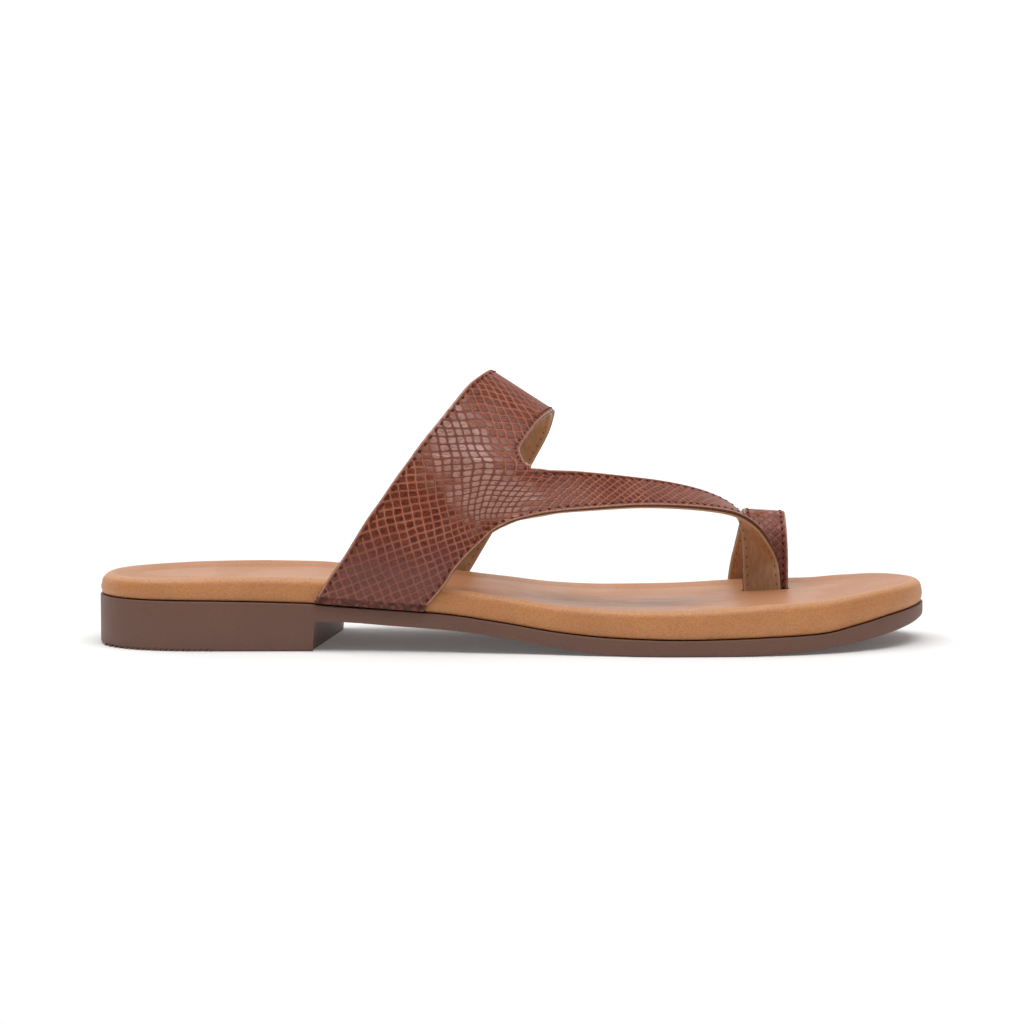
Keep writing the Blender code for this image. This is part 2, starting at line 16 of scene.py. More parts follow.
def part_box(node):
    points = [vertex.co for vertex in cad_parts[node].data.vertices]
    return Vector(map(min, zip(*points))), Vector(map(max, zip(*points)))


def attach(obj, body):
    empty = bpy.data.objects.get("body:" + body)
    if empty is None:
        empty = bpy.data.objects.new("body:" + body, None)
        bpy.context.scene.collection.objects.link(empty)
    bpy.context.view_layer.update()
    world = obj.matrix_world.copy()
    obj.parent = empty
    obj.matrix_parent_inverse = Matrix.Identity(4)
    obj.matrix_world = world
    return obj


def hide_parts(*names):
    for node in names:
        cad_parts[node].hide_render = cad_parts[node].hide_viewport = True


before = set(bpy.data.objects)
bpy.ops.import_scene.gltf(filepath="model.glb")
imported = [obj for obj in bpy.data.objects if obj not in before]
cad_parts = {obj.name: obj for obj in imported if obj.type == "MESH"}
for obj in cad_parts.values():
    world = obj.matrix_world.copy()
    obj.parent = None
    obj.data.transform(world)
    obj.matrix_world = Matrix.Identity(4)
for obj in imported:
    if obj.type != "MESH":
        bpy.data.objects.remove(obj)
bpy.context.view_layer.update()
MM = 0.001

# %% [markdown]
# ## The last, as numbers
# A sandal is built on a last, so a few real lengths rule every piece. They are the same
# lengths that the solids were built from. The tables give shares of them along the foot,
# and a smooth curve without overshoot reads each table between its rows.

# %% Lengths of the sole and the straps
SOLE_LENGTH = 255.0 * MM
HEEL_WIDTH = 60.0 * MM
WAIST_WIDTH = 66.0 * MM
BALL_WIDTH = 88.0 * MM
HEEL_ROUND = 34.0 * MM
HEEL_SQUARENESS = 2.4
TOE_ROUND = 55.0 * MM
TOE_TIP_INWARD = 6.0 * MM
HEEL_HEIGHT = 15.0 * MM
HEEL_BLOCK_LENGTH = 70.2 * MM
BREAST_SKEW = 6.3 * MM
BREAST_DRAFT = 0.5 * MM
BREAST_SLANT_REACH = 0.12
ARCH_RISE = 9.0 * MM
FOREPART_EDGE = 4.8 * MM
TOE_SPRING = 8.6 * MM
TREAD_ROUND = 0.9 * MM
FOOTBED_EDGE = 7.2 * MM
FOOTBED_ROUND = 3.0 * MM
FOOTBED_RIM = 9.0 * MM
HEEL_CUP = 2.2 * MM
FOREFOOT_DISH = 1.6 * MM
LEDGE = 1.0 * MM
INSTEP_HEIGHT = 84.0 * MM
STRAP_WALL = 1.9 * MM
LOOP_HEIGHT = 38.6 * MM
POST_INWARD = 16.5 * MM
LASTING_MARGIN = 8.0 * MM
CLEARANCE = 0.3 * MM
HALF_BALL = 0.5 * BALL_WIDTH
BREAST_SHARE = HEEL_BLOCK_LENGTH / SOLE_LENGTH
BAND_OUTER_HEM = ((0.266, 0.396), (0.284, 0.420))
BAND_INNER_HEM = ((0.305, 0.432), (0.320, 0.449))
LOOP_INNER_HEM = ((0.769, 0.829), (0.772, 0.830))
BRANCH_FROM_ROW, BRANCH_TO_ROW = 2, 4
LOOP_TILT = 0.020

# %% Tables of the sole
# Half-widths. Columns: along, outer half-width, inner half-width
PLAN = (
    (0.00, 0.500 * HEEL_WIDTH, 0.490 * HEEL_WIDTH),
    (0.14, 0.507 * HEEL_WIDTH, 0.500 * HEEL_WIDTH),
    (0.26, 0.503 * HEEL_WIDTH, 0.497 * HEEL_WIDTH),
    (0.36, 0.480 * WAIST_WIDTH, 0.448 * WAIST_WIDTH),
    (0.44, 0.530 * WAIST_WIDTH, 0.455 * WAIST_WIDTH),
    (0.52, 0.430 * BALL_WIDTH, 0.395 * BALL_WIDTH),
    (0.60, 0.478 * BALL_WIDTH, 0.448 * BALL_WIDTH),
    (0.68, 0.508 * BALL_WIDTH, 0.482 * BALL_WIDTH),
    (0.75, 0.502 * BALL_WIDTH, 0.490 * BALL_WIDTH),
    (0.82, 0.475 * BALL_WIDTH, 0.478 * BALL_WIDTH),
    (1.00, 0.430 * BALL_WIDTH, 0.460 * BALL_WIDTH),
)
# The sole's upper edge. Columns: along, height
WELT = (
    (0.000, 1.010 * HEEL_HEIGHT),
    (0.060, 1.005 * HEEL_HEIGHT),
    (0.130, 1.000 * HEEL_HEIGHT),
    (0.250, 0.955 * HEEL_HEIGHT),
    (0.300, 0.893 * HEEL_HEIGHT),
    (0.420, 0.760 * HEEL_HEIGHT),
    (0.484, 0.617 * HEEL_HEIGHT),
    (0.557, 0.430 * HEEL_HEIGHT),
    (0.620, 1.085 * FOREPART_EDGE),
    (0.700, 0.990 * FOREPART_EDGE),
    (0.800, 1.110 * FOREPART_EDGE),
    (0.860, 0.680 * TOE_SPRING),
    (0.912, 0.950 * TOE_SPRING),
    (0.950, 1.175 * TOE_SPRING),
    (1.000, 1.390 * TOE_SPRING),
)
# Rise of the underside in front of the heel block. Columns: along, height
UNDERSIDE = (
    (0.000, 1.000 * ARCH_RISE),
    (0.290, 0.980 * ARCH_RISE),
    (0.360, 0.860 * ARCH_RISE),
    (0.433, 0.730 * ARCH_RISE),
    (0.504, 0.450 * ARCH_RISE),
    (0.560, 0.190 * ARCH_RISE),
    (0.610, 0.040 * ARCH_RISE),
    (0.640, 0.0),
    (0.760, 0.0),
    (0.820, 0.070 * TOE_SPRING),
    (0.880, 0.220 * TOE_SPRING),
    (0.940, 0.500 * TOE_SPRING),
    (0.975, 0.720 * TOE_SPRING),
    (1.000, 0.920 * TOE_SPRING),
)
# The footbed. Columns: along, rim above the sole's edge, depth of the dish, ledge
FOOTBED = (
    (0.00, 0.82 * FOOTBED_EDGE, 0.80 * HEEL_CUP, 0.50 * LEDGE),
    (0.05, 0.84 * FOOTBED_EDGE, 0.90 * HEEL_CUP, 0.75 * LEDGE),
    (0.12, 0.92 * FOOTBED_EDGE, 1.00 * HEEL_CUP, 1.00 * LEDGE),
    (0.20, 1.00 * FOOTBED_EDGE, 1.00 * HEEL_CUP, 1.00 * LEDGE),
    (0.30, 1.04 * FOOTBED_EDGE, 0.85 * HEEL_CUP, 1.00 * LEDGE),
    (0.50, 1.06 * FOOTBED_EDGE, 0.80 * FOREFOOT_DISH, 1.00 * LEDGE),
    (0.70, 1.20 * FOOTBED_EDGE, 1.00 * FOREFOOT_DISH, 1.00 * LEDGE),
    (0.80, 1.31 * FOOTBED_EDGE, 0.95 * FOREFOOT_DISH, 1.00 * LEDGE),
    (0.85, 1.33 * FOOTBED_EDGE, 0.90 * FOREFOOT_DISH, 1.00 * LEDGE),
    (0.94, 1.13 * FOOTBED_EDGE, 0.60 * FOREFOOT_DISH, 0.80 * LEDGE),
    (1.00, 0.93 * FOOTBED_EDGE, 0.40 * FOREFOOT_DISH, 0.50 * LEDGE),
)

# %% Tables of the straps
# The instep band. Columns: heel edge along, inward, up, toe edge along, inward, up
BAND = (
    (0.302, -0.715, 0.349, 0.432, -0.788, 0.300),
    (0.326, -0.703, 0.468, 0.452, -0.757, 0.366),
    (0.344, -0.675, 0.545, 0.471, -0.722, 0.422),
    (0.361, -0.632, 0.620, 0.501, -0.635, 0.545),
    (0.379, -0.580, 0.694, 0.521, -0.535, 0.652),
    (0.382, -0.569, 0.708, 0.515, -0.516, 0.665),
    (0.388, -0.550, 0.732, 0.511, -0.487, 0.684),
    (0.396, -0.520, 0.764, 0.508, -0.436, 0.718),
    (0.408, -0.470, 0.808, 0.517, -0.368, 0.760),
    (0.425, -0.390, 0.871, 0.530, -0.248, 0.808),
    (0.447, -0.240, 0.948, 0.541, -0.110, 0.831),
    (0.470, 0.030, 0.990, 0.549, 0.070, 0.836),
    (0.465, 0.280, 0.950, 0.548, 0.260, 0.800),
    (0.445, 0.450, 0.856, 0.541, 0.410, 0.733),
    (0.408, 0.605, 0.680, 0.518, 0.556, 0.600),
    (0.370, 0.685, 0.490, 0.483, 0.668, 0.410),
    (0.340, 0.695, 0.340, 0.460, 0.702, 0.290),
)
# The diagonal strap, from the band to the toe post, with the same columns
DIAGONAL = (
    (0.530, -0.530, 0.650, 0.486, -0.718, 0.448),
    (0.545, -0.524, 0.646, 0.506, -0.712, 0.473),
    (0.571, -0.470, 0.639, 0.547, -0.706, 0.498),
    (0.606, -0.372, 0.624, 0.598, -0.645, 0.509),
    (0.641, -0.260, 0.607, 0.649, -0.518, 0.513),
    (0.676, -0.130, 0.588, 0.692, -0.362, 0.505),
    (0.710, 0.000, 0.563, 0.731, -0.198, 0.490),
    (0.739, 0.123, 0.531, 0.763, -0.059, 0.470),
    (0.762, 0.232, 0.492, 0.785, 0.059, 0.440),
    (0.776, 0.310, 0.448, 0.803, 0.159, 0.394),
    (0.781, 0.345, 0.393, 0.816, 0.245, 0.340),
)
# The post. Columns: heel edge along, up, toe edge along, up
POST = (
    (0.782, 0.320, 0.826, 0.280),
    (0.783, 0.230, 0.830, 0.205),
    (0.784, 0.130, 0.831, 0.130),
)
# The toe loop. Columns: heel edge along, inward, toe edge along, inward, height share
LOOP = (
    (0.788, 0.407, 0.840, 0.407, 0.600),
    (0.787, 0.425, 0.839, 0.425, 0.790),
    (0.786, 0.495, 0.838, 0.490, 0.920),
    (0.786, 0.600, 0.838, 0.595, 0.975),
    (0.785, 0.715, 0.837, 0.705, 0.945),
    (0.784, 0.820, 0.835, 0.800, 0.840),
    (0.780, 0.895, 0.833, 0.865, 0.690),
    (0.775, 0.945, 0.831, 0.900, 0.530),
)


# %% Read the tables
def table_slope(rows, k, column):
    """Slope at a row: the harmonic mean of its neighbours, or flat at a turn."""
    if k == 0 or k == len(rows) - 1:
        i = min(k, len(rows) - 2)
        return (rows[i + 1][column] - rows[i][column]) / (rows[i + 1][0] - rows[i][0])
    before = (rows[k][column] - rows[k - 1][column]) / (rows[k][0] - rows[k - 1][0])
    after = (rows[k + 1][column] - rows[k][column]) / (rows[k + 1][0] - rows[k][0])
    if before * after <= 0:
        return 0.0
    return 2 * before * after / (before + after)


def smooth_table(rows, place):
    """Values of a table at a place, on a smooth curve without overshoot."""
    places = [row[0] for row in rows]
    if place <= places[0]:
        return rows[0][1:]
    if place >= places[-1]:
        return rows[-1][1:]
    k = bisect_right(places, place) - 1
    step = places[k + 1] - places[k]
    t = (place - places[k]) / step
    values = []
    for column in range(1, len(rows[0])):
        start_slope = table_slope(rows, k, column)
        end_slope = table_slope(rows, k + 1, column)
        a, b = rows[k][column], rows[k + 1][column]
        values.append(
            (1 + 2 * t) * (1 - t) ** 2 * a + t * (1 - t) ** 2 * step * start_slope
            + t * t * (3 - 2 * t) * b - t * t * (1 - t) * step * end_slope
        )
    return values


def ease(value, low, high):
    """0 below low, 1 above high, and a soft step between."""
    t = min(1.0, max(0.0, (value - low) / (high - low)))
    return t * t * (3 - 2 * t)


def along(share):
    return (share - 0.5) * SOLE_LENGTH


def share_of(x):
    return x / SOLE_LENGTH + 0.5


def outline(share, side, inset=0.0):
    """Point of the sole's outline, on the outer (-1) or inner (+1) side, moved in."""
    x = along(share)
    heel_end, toe_end = -0.5 * SOLE_LENGTH, 0.5 * SOLE_LENGTH
    outer, inner = smooth_table(PLAN, share)
    half = (outer if side < 0 else inner) - inset
    if x < heel_end + HEEL_ROUND:
        reach = min(1.0, max(0.0, (heel_end + HEEL_ROUND - x) / HEEL_ROUND))
        x_in = heel_end + HEEL_ROUND - (HEEL_ROUND - inset) * reach
        return x_in, side * half * (1 - reach ** HEEL_SQUARENESS) ** (1 / HEEL_SQUARENESS)
    if x > toe_end - TOE_ROUND:
        angle = asin(min(1.0, max(0.0, (x - toe_end + TOE_ROUND) / TOE_ROUND)))
        x_in = toe_end - TOE_ROUND + (TOE_ROUND - inset) * sin(angle)
        tip = TOE_TIP_INWARD
        return x_in, tip + (side * half - tip) * cos(angle)
    return x, side * half


def welt_height(x):
    return smooth_table(WELT, share_of(x))[0]


def rim_height(x):
    return welt_height(x) + CLEARANCE + smooth_table(FOOTBED, share_of(x))[0]


def dish_depth(x):
    return smooth_table(FOOTBED, share_of(x))[1]


def ledge_width(share):
    return smooth_table(FOOTBED, share)[2]


outsole_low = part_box("outsole")[0]
side_points = [outline(s / 400, side) for s in range(401) for side in (-1, 1)]
SHIFT_Y = outsole_low.y - min(y for _, y in side_points)
print("the frame's origin lies", round(SHIFT_Y / MM, 3), "mm from the last's centre line")

# %% [markdown]
# ## Rings make the sole
# A shoe sole is one outline repeated at several heights. Each ring is the outline moved in
# a little at its own height, and faces join each ring to the next. This keeps every edge
# radius under control, where a bevel would meet the tight curve of the heel badly.


# %% Tools for ringed solids
class Shell:
    """Vertices and faces of one mesh, with the inset of each vertex from the outline."""

    def __init__(self):
        self.points, self.faces, self.insets = [], [], []

    def point(self, x, y, z, inset=0.0):
        self.points.append([x, y, z])
        self.insets.append(inset)
        return len(self.points) - 1

    def face(self, *corners):
        distinct = list(dict.fromkeys(corners))
        if len(distinct) > 2:
            self.faces.append(distinct)


def stations(heel_steps, shank_steps, toe_steps, extra=()):
    """Shares of the length where the sole is cut, closer together at its round ends."""
    heel_share, toe_share = HEEL_ROUND / SOLE_LENGTH, TOE_ROUND / SOLE_LENGTH
    shank = 1 - heel_share - toe_share
    found = [heel_share * (1 - cos(0.5 * pi * i / heel_steps)) for i in range(heel_steps)]
    found += [1 - toe_share * (1 - cos(0.5 * pi * i / toe_steps)) for i in range(toe_steps)]
    found += [heel_share + shank * i / shank_steps for i in range(shank_steps + 1)]
    near = 0.35 * shank / shank_steps
    found = [s for s in found if all(abs(s - e) > near for e in extra)]
    return sorted(found + list(extra))


def add_ring(shell, shares, inset, height, slant=lambda share, side: 0.0, edge=lambda share: 0.0):
    """One closed ring of the sole, moved in by inset from an edge inside its outline."""
    rows, last = {}, len(shares) - 1
    for side in (-1, 1):
        row = []
        for i, share in enumerate(shares):
            if side > 0 and i in (0, last):
                row.append(rows[-1][i])
                continue
            x, y = outline(share + slant(share, side), side, edge(share) + inset)
            row.append(shell.point(x, y, height(x, share), inset))
        rows[side] = row
    return rows


def join_rings(shell, lower, upper):
    for i in range(len(lower[1]) - 1):
        shell.face(lower[1][i + 1], lower[1][i], upper[1][i], upper[1][i + 1])
        shell.face(lower[-1][i], lower[-1][i + 1], upper[-1][i + 1], upper[-1][i])


def add_cap(shell, shares, ring, steps, inset, height, facing_up):
    rows = []
    for i, share in enumerate(shares):
        a, b = ring[-1][i], ring[1][i]
        if a == b:
            rows.append([a] * (steps + 1))
            continue
        start, end = Vector(shell.points[a]), Vector(shell.points[b])
        row = [a]
        for j in range(1, steps):
            spot = start.lerp(end, j / steps)
            row.append(shell.point(spot.x, spot.y, height(spot.x, share, j / steps), inset))
        rows.append(row + [b])
    for near, far in zip(rows, rows[1:]):
        for j in range(steps):
            corners = (near[j], far[j], far[j + 1], near[j + 1])
            shell.face(*(corners if facing_up else corners[::-1]))


def mesh_object(name, points, faces, material, smooth=True, edges=()):
    """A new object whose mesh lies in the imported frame, with the origin left alone."""
    mesh = bpy.data.meshes.new(name)
    mesh.from_pydata([(x, y + SHIFT_Y, z) for x, y, z in points], edges, faces)
    if smooth:
        mesh.shade_smooth()
    if material is not None:
        mesh.materials.append(material)
    piece = bpy.data.objects.new(name, mesh)
    bpy.context.scene.collection.objects.link(piece)
    return piece


def plain_mesh(piece):
    """Turn what the modifiers make into the object's own mesh, and drop the modifiers."""
    surroundings = bpy.context.evaluated_depsgraph_get()
    result = bpy.data.meshes.new_from_object(piece.evaluated_get(surroundings))
    piece.modifiers.clear()
    piece.data = result
    return piece


def set_float(mesh, name, values):
    layer = mesh.attributes.new(name, "FLOAT", "POINT")
    layer.data.foreach_set("value", np.asarray(values, np.float32))


# %% [markdown]
# ## A short way to write shader nodes
# A finish is a small drawing in nodes. The helper below adds a node, feeds its sockets with
# numbers or with other sockets, and hands back what comes out, so that a material reads
# from top to bottom like a recipe.


# %% Node helper
class Recipe:
    """Adds nodes to one node tree, each fed by numbers, colours or other sockets."""

    def __init__(self, tree):
        self.tree = tree

    def add(self, kind, feeds=None, **settings):
        node = self.tree.nodes.new(kind)
        for key, value in settings.items():
            setattr(node, key, value)
        for key, value in (feeds or {}).items():
            self.feed(node.inputs[key], value)
        return node

    def feed(self, socket, value):
        if isinstance(value, bpy.types.NodeSocket):
            self.tree.links.new(value, socket)
        elif isinstance(value, tuple) and len(value) == 3 and socket.type == "RGBA":
            socket.default_value = (*value, 1.0)
        else:
            socket.default_value = value

    def math(self, operation, a, b=0.0, c=0.0, clamp=False):
        feeds = {0: a, 1: b, 2: c}
        return self.add("ShaderNodeMath", feeds, operation=operation, use_clamp=clamp).outputs[0]

    def step(self, value, low, high, start=0.0, end=1.0):
        """A soft step from start to end while value goes from low to high."""
        feeds = {"Value": value, "From Min": low, "From Max": high, "To Min": start, "To Max": end}
        kind = {"interpolation_type": "SMOOTHSTEP"}
        return self.add("ShaderNodeMapRange", feeds, **kind).outputs[0]

    def mix(self, share, a, b, blend="MIX"):
        feeds = {0: share, 6: a, 7: b}
        return self.add("ShaderNodeMix", feeds, data_type="RGBA", blend_type=blend).outputs[2]

    def tint(self, colour, mask, amount, other):
        """The colour with some of another one, full where the mask is 1."""
        return self.mix(self.math("MULTIPLY", mask, amount), colour, other)

    def noise(self, place, scale, detail=2.0, roughness=0.5, stretch=None):
        if stretch:
            place = self.add("ShaderNodeMapping", {"Vector": place, "Scale": stretch}).outputs[0]
        feeds = {"Vector": place, "Scale": scale, "Detail": detail, "Roughness": roughness}
        return self.add("ShaderNodeTexNoise", feeds).outputs["Fac"]

    def place(self):
        return self.add("ShaderNodeTexCoord").outputs["Object"]

    def attribute(self, name):
        return self.add("ShaderNodeAttribute", attribute_name=name).outputs["Fac"]

    def bump(self, height, distance, strength=1.0, normal=None):
        feeds = {"Height": height, "Distance": distance, "Strength": strength}
        if normal is not None:
            feeds["Normal"] = normal
        return self.add("ShaderNodeBump", feeds).outputs[0]

    def effect(self, group, **feeds):
        node = self.add("ShaderNodeGroup", node_tree=group)
        for key, value in feeds.items():
            self.feed(node.inputs[key.replace("_", " ")], value)
        return node.outputs


def new_effect(name, inputs, outputs):
    """An empty shader node group with named sockets, and its recipe and two end nodes."""
    group = bpy.data.node_groups.new(name, "ShaderNodeTree")
    kinds = {"float": "NodeSocketFloat", "colour": "NodeSocketColor", "vector": "NodeSocketVector"}
    for label, kind, value in inputs:
        socket = group.interface.new_socket(label, in_out="INPUT", socket_type=kinds[kind])
        if value is not None:
            socket.default_value = value
    for label, kind in outputs:
        group.interface.new_socket(label, in_out="OUTPUT", socket_type=kinds[kind])
    recipe = Recipe(group)
    given = group.nodes.new("NodeGroupInput").outputs
    taken = group.nodes.new("NodeGroupOutput").inputs
    return group, recipe, given, taken


def new_material(name):
    material = bpy.data.materials.new(name)
    material.use_nodes = True
    recipe = Recipe(material.node_tree)
    return material, recipe, material.node_tree.nodes["Principled BSDF"].inputs


def linear(red, green, blue):
    """A colour as seen on a screen, from 0 to 255, made linear for the shader."""
    return tuple((c / 255 / 12.92) if c < 11 else ((c / 255 + 0.055) / 1.055) ** 2.4
                 for c in (red, green, blue))


# %% [markdown]
# ## Effects that several finishes share
# Leather has a fine pebbled grain, and every worn thing has a little uneven tone. Each is a
# node group with its own inputs, so that the footbed, the lining and the snake leather can
# use it at their own scale.

# %% Fine grain and uneven tone
GRAIN, made, given, taken = new_effect(
    "fine_grain",
    [("Place", "vector", None), ("Scale", "float", 2000.0), ("Softness", "float", 0.5)],
    [("Height", "float"), ("Pores", "float")],
)
cells = made.add("ShaderNodeTexVoronoi", {"Vector": given["Place"], "Scale": given["Scale"]})
double = made.math("MULTIPLY", given["Scale"], 2.3)
fuzz = made.noise(given["Place"], double, 3.0, 0.6)
height = made.math("SUBTRACT", 1.0, cells.outputs["Distance"])
soft = made.math("MULTIPLY", fuzz, given["Softness"])
made.feed(taken["Height"], made.math("ADD", height, soft))
made.feed(taken["Pores"], made.step(cells.outputs["Distance"], 0.35, 0.75))

TONE, made, given, taken = new_effect(
    "uneven_tone",
    [("Place", "vector", None), ("Colour", "colour", (0.5, 0.5, 0.5, 1.0)),
     ("Amount", "float", 0.15), ("Scale", "float", 60.0)],
    [("Colour", "colour"), ("Mask", "float")],
)
broad = made.noise(given["Place"], given["Scale"], 4.0, 0.55)
spread = made.math("SUBTRACT", broad, 0.5)
factor = made.math("MULTIPLY_ADD", spread, made.math("MULTIPLY", given["Amount"], 4.0), 1.0)
grey = made.add("ShaderNodeCombineColor", {0: factor, 1: factor, 2: factor}).outputs[0]
made.feed(taken["Colour"], made.mix(1.0, given["Colour"], grey, "MULTIPLY"))
made.feed(taken["Mask"], made.step(broad, 0.42, 0.62))
print("effects:", GRAIN.name, TONE.name)

# %% [markdown]
# ## The moulded outsole
# The real sole is one brown rubber moulding: heel block, raised arch and thin forepart. Its
# bottom is a thin rim around a field that lies a little higher, where the tread ribs stand.
# The rubber is matt, so its finish is a plain brown with a faint speckle and a dull sheen.

# %% Outsole mesh
RIB_HEIGHT = 0.45 * MM
RIB_SINK = 0.2 * MM
TEETH_END = 0.146
TOP_ROUND = 0.35 * MM
TREAD_RIM = 4.6 * MM
FRONT_OF_BREAST = BREAST_SHARE + BREAST_DRAFT / SOLE_LENGTH
HEEL_FIELD = (0.010, BREAST_SHARE - 0.020)
FORE_FIELD = (0.600, 0.930)


def breast_slant(share, side):
    """Share by which a cut runs forward on the inner side, full at the heel's breast."""
    near = max(0.0, 1 - abs(share - BREAST_SHARE) / BREAST_SLANT_REACH)
    return 0.5 * side * near * near * BREAST_SKEW / SOLE_LENGTH


def underside(x, share):
    return 0.0 if share <= BREAST_SHARE else smooth_table(UNDERSIDE, share_of(x))[0]


def through_edge(share):
    """1 where the tread grooves run out through the heel's edge, which shows as teeth."""
    return 1 - ease(share, TEETH_END - 0.002, TEETH_END + 0.002)


def in_field(share):
    """1 where the underside lies higher, between the ribs of the heel and the forepart."""
    spans = (HEEL_FIELD, FORE_FIELD)
    return max(ease(share, a, a + 0.006) - ease(share, b - 0.006, b) for a, b in spans)


def make_outsole(material):
    shares = stations(40, 96, 40, (TEETH_END, BREAST_SHARE, FRONT_OF_BREAST))
    shell = Shell()

    def edge(lift):
        def height(x, share):
            cut = through_edge(share)
            return underside(x, share) + cut * RIB_HEIGHT + lift * (1 - 0.5 * cut)
        return height

    profile = [(TREAD_RIM, edge(0.0)), (TREAD_ROUND, edge(0.0))]
    for turn in (22.5, 45, 67.5, 90):
        angle = radians(turn)
        inset = TREAD_ROUND * (1 - sin(angle))
        profile.append((inset, edge(TREAD_ROUND * (1 - cos(angle)))))
    for turn in (0, 30, 60, 90):
        angle = radians(turn)
        drop = TOP_ROUND * (1 - sin(angle))
        profile.append((TOP_ROUND * (1 - cos(angle)), lambda x, share, d=drop: welt_height(x) - d))
    rings = [add_ring(shell, shares, inset, height, breast_slant) for inset, height in profile]
    for lower, upper in zip(rings, rings[1:]):
        join_rings(shell, lower, upper)

    def field(x, share, t=0.0):
        return underside(x, share) + RIB_HEIGHT * max(in_field(share), through_edge(share))

    inner = add_ring(shell, shares, TREAD_RIM + 0.3 * MM, field, breast_slant)
    join_rings(shell, inner, rings[0])
    add_cap(shell, shares, inner, 12, TREAD_RIM, field, facing_up=False)
    add_cap(shell, shares, rings[-1], 6, LEDGE, lambda x, s, t: welt_height(x), facing_up=True)
    piece = mesh_object("outsole_rubber", shell.points, shell.faces, material)
    piece.data.set_sharp_from_angle(angle=radians(38))
    return piece


# %% Matt brown rubber
RUBBER, made, shader = new_material("brown_rubber")
place = made.place()
brown = (*linear(118, 84, 71), 1.0)
tone = made.effect(TONE, Place=place, Colour=brown, Amount=0.05, Scale=45.0)
speckle = made.noise(place, 2600.0, 2.0, 0.7)
made.feed(shader["Base Color"], made.mix(
    made.step(speckle, 0.35, 0.75, 0.0, 0.22), tone["Colour"], linear(134, 106, 94)
))
made.feed(shader["Roughness"], made.step(speckle, 0.3, 0.7, 0.60, 0.50))
made.feed(shader["Normal"], made.bump(speckle, 0.04 * MM, 0.5))
shader["Specular IOR Level"].default_value = 0.35
outsole = make_outsole(RUBBER)
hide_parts("outsole")
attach(outsole, "root")
print("outsole faces", len(outsole.data.polygons))

# %% [markdown]
# ## Tread ribs that follow the outline
# Fine ribs run across the heel and the forepart. At the back of the heel they reach the
# edge, where their ends show as small teeth. Geometry Nodes sweep one rounded bar along
# each line, so a change of spacing or height is one number.


# %% Tread ribs by Geometry Nodes
def new_tree(name, inputs):
    tree = bpy.data.node_groups.new(name, "GeometryNodeTree")
    tree.interface.new_socket("Geometry", in_out="INPUT", socket_type="NodeSocketGeometry")
    ids = {}
    for label, kind, value in inputs:
        socket = tree.interface.new_socket(label, in_out="INPUT", socket_type=kind)
        if value is not None:
            socket.default_value = value
        ids[label] = socket.identifier
    tree.interface.new_socket("Geometry", in_out="OUTPUT", socket_type="NodeSocketGeometry")
    recipe = Recipe(tree)
    given = tree.nodes.new("NodeGroupInput").outputs
    taken = tree.nodes.new("NodeGroupOutput").inputs
    return tree, ids, recipe, given, taken


def grow(piece, tree, ids, **values):
    """Run a tree on an object with its inputs set, and keep the result as a plain mesh."""
    modifier = piece.modifiers.new(tree.name, "NODES")
    modifier.node_group = tree
    for label, value in values.items():
        modifier[ids[label]] = value
    return plain_mesh(piece)


RIBS, rib_ids, made, given, taken = new_tree("tread_ribs", [
    ("Height", "NodeSocketFloat", 0.001),
    ("Foot", "NodeSocketFloat", 0.0012),
    ("Crown", "NodeSocketFloat", 0.0008),
    ("Rubber", "NodeSocketMaterial", None),
])
lines = made.add("GeometryNodeMeshToCurve", {"Mesh": given["Geometry"]})
level = made.add("GeometryNodeSetCurveNormal", {"Curve": lines.outputs[0]}, mode="Z_UP")
bar = made.add("GeometryNodeCurvePrimitiveQuadrilateral", {
    "Height": given["Height"], "Bottom Width": given["Crown"], "Top Width": given["Foot"],
    "Offset": 0.0,
}, mode="TRAPEZOID")
swept = made.add("GeometryNodeCurveToMesh", {
    "Curve": level.outputs[0], "Profile Curve": bar.outputs[0], "Fill Caps": True,
})
solid = made.add("GeometryNodeRealizeInstances", {"Geometry": swept.outputs[0]})
dressed = made.add("GeometryNodeSetMaterial", {
    "Geometry": solid.outputs[0], "Material": given["Rubber"],
})
made.feed(taken["Geometry"], dressed.outputs[0])


def rib_lines(name, start, end, pitch, reach):
    """Lines across the underside, pitch apart, that stop at reach inside the outline."""
    points, edges = [], []
    for k in range(int((end - start) * SOLE_LENGTH / pitch) + 1):
        share = start + k * pitch / SOLE_LENGTH
        ends = [outline(share, side, reach(share)) for side in (-1, 1)]
        z = underside(along(share), share) + 0.5 * (RIB_HEIGHT + RIB_SINK)
        points += [(x, y, z) for x, y in ends]
        edges.append((2 * k, 2 * k + 1))
    return mesh_object(name, points, [], None, smooth=False, edges=edges)


def heel_reach(share):
    return 0.05 * MM + (TREAD_RIM - 0.4 * MM) * (1 - through_edge(share))


HEEL_PITCH, FORE_PITCH = 1.75 * MM, 2.9 * MM
HEEL_FOOT, FORE_FOOT = 1.15 * MM, 1.9 * MM
heel_ribs = rib_lines("heel_tread", 0.012, BREAST_SHARE - 0.022, HEEL_PITCH, heel_reach)
fore_ribs = rib_lines("fore_tread", 0.612, 0.922, FORE_PITCH, lambda share: TREAD_RIM)
for ribs, foot in ((heel_ribs, HEEL_FOOT), (fore_ribs, FORE_FOOT)):
    grow(ribs, RIBS, rib_ids, Height=RIB_HEIGHT + RIB_SINK, Foot=foot,
         Crown=0.7 * foot, Rubber=RUBBER)
    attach(ribs, "root")
    print(ribs.name, len(ribs.data.polygons), "faces")
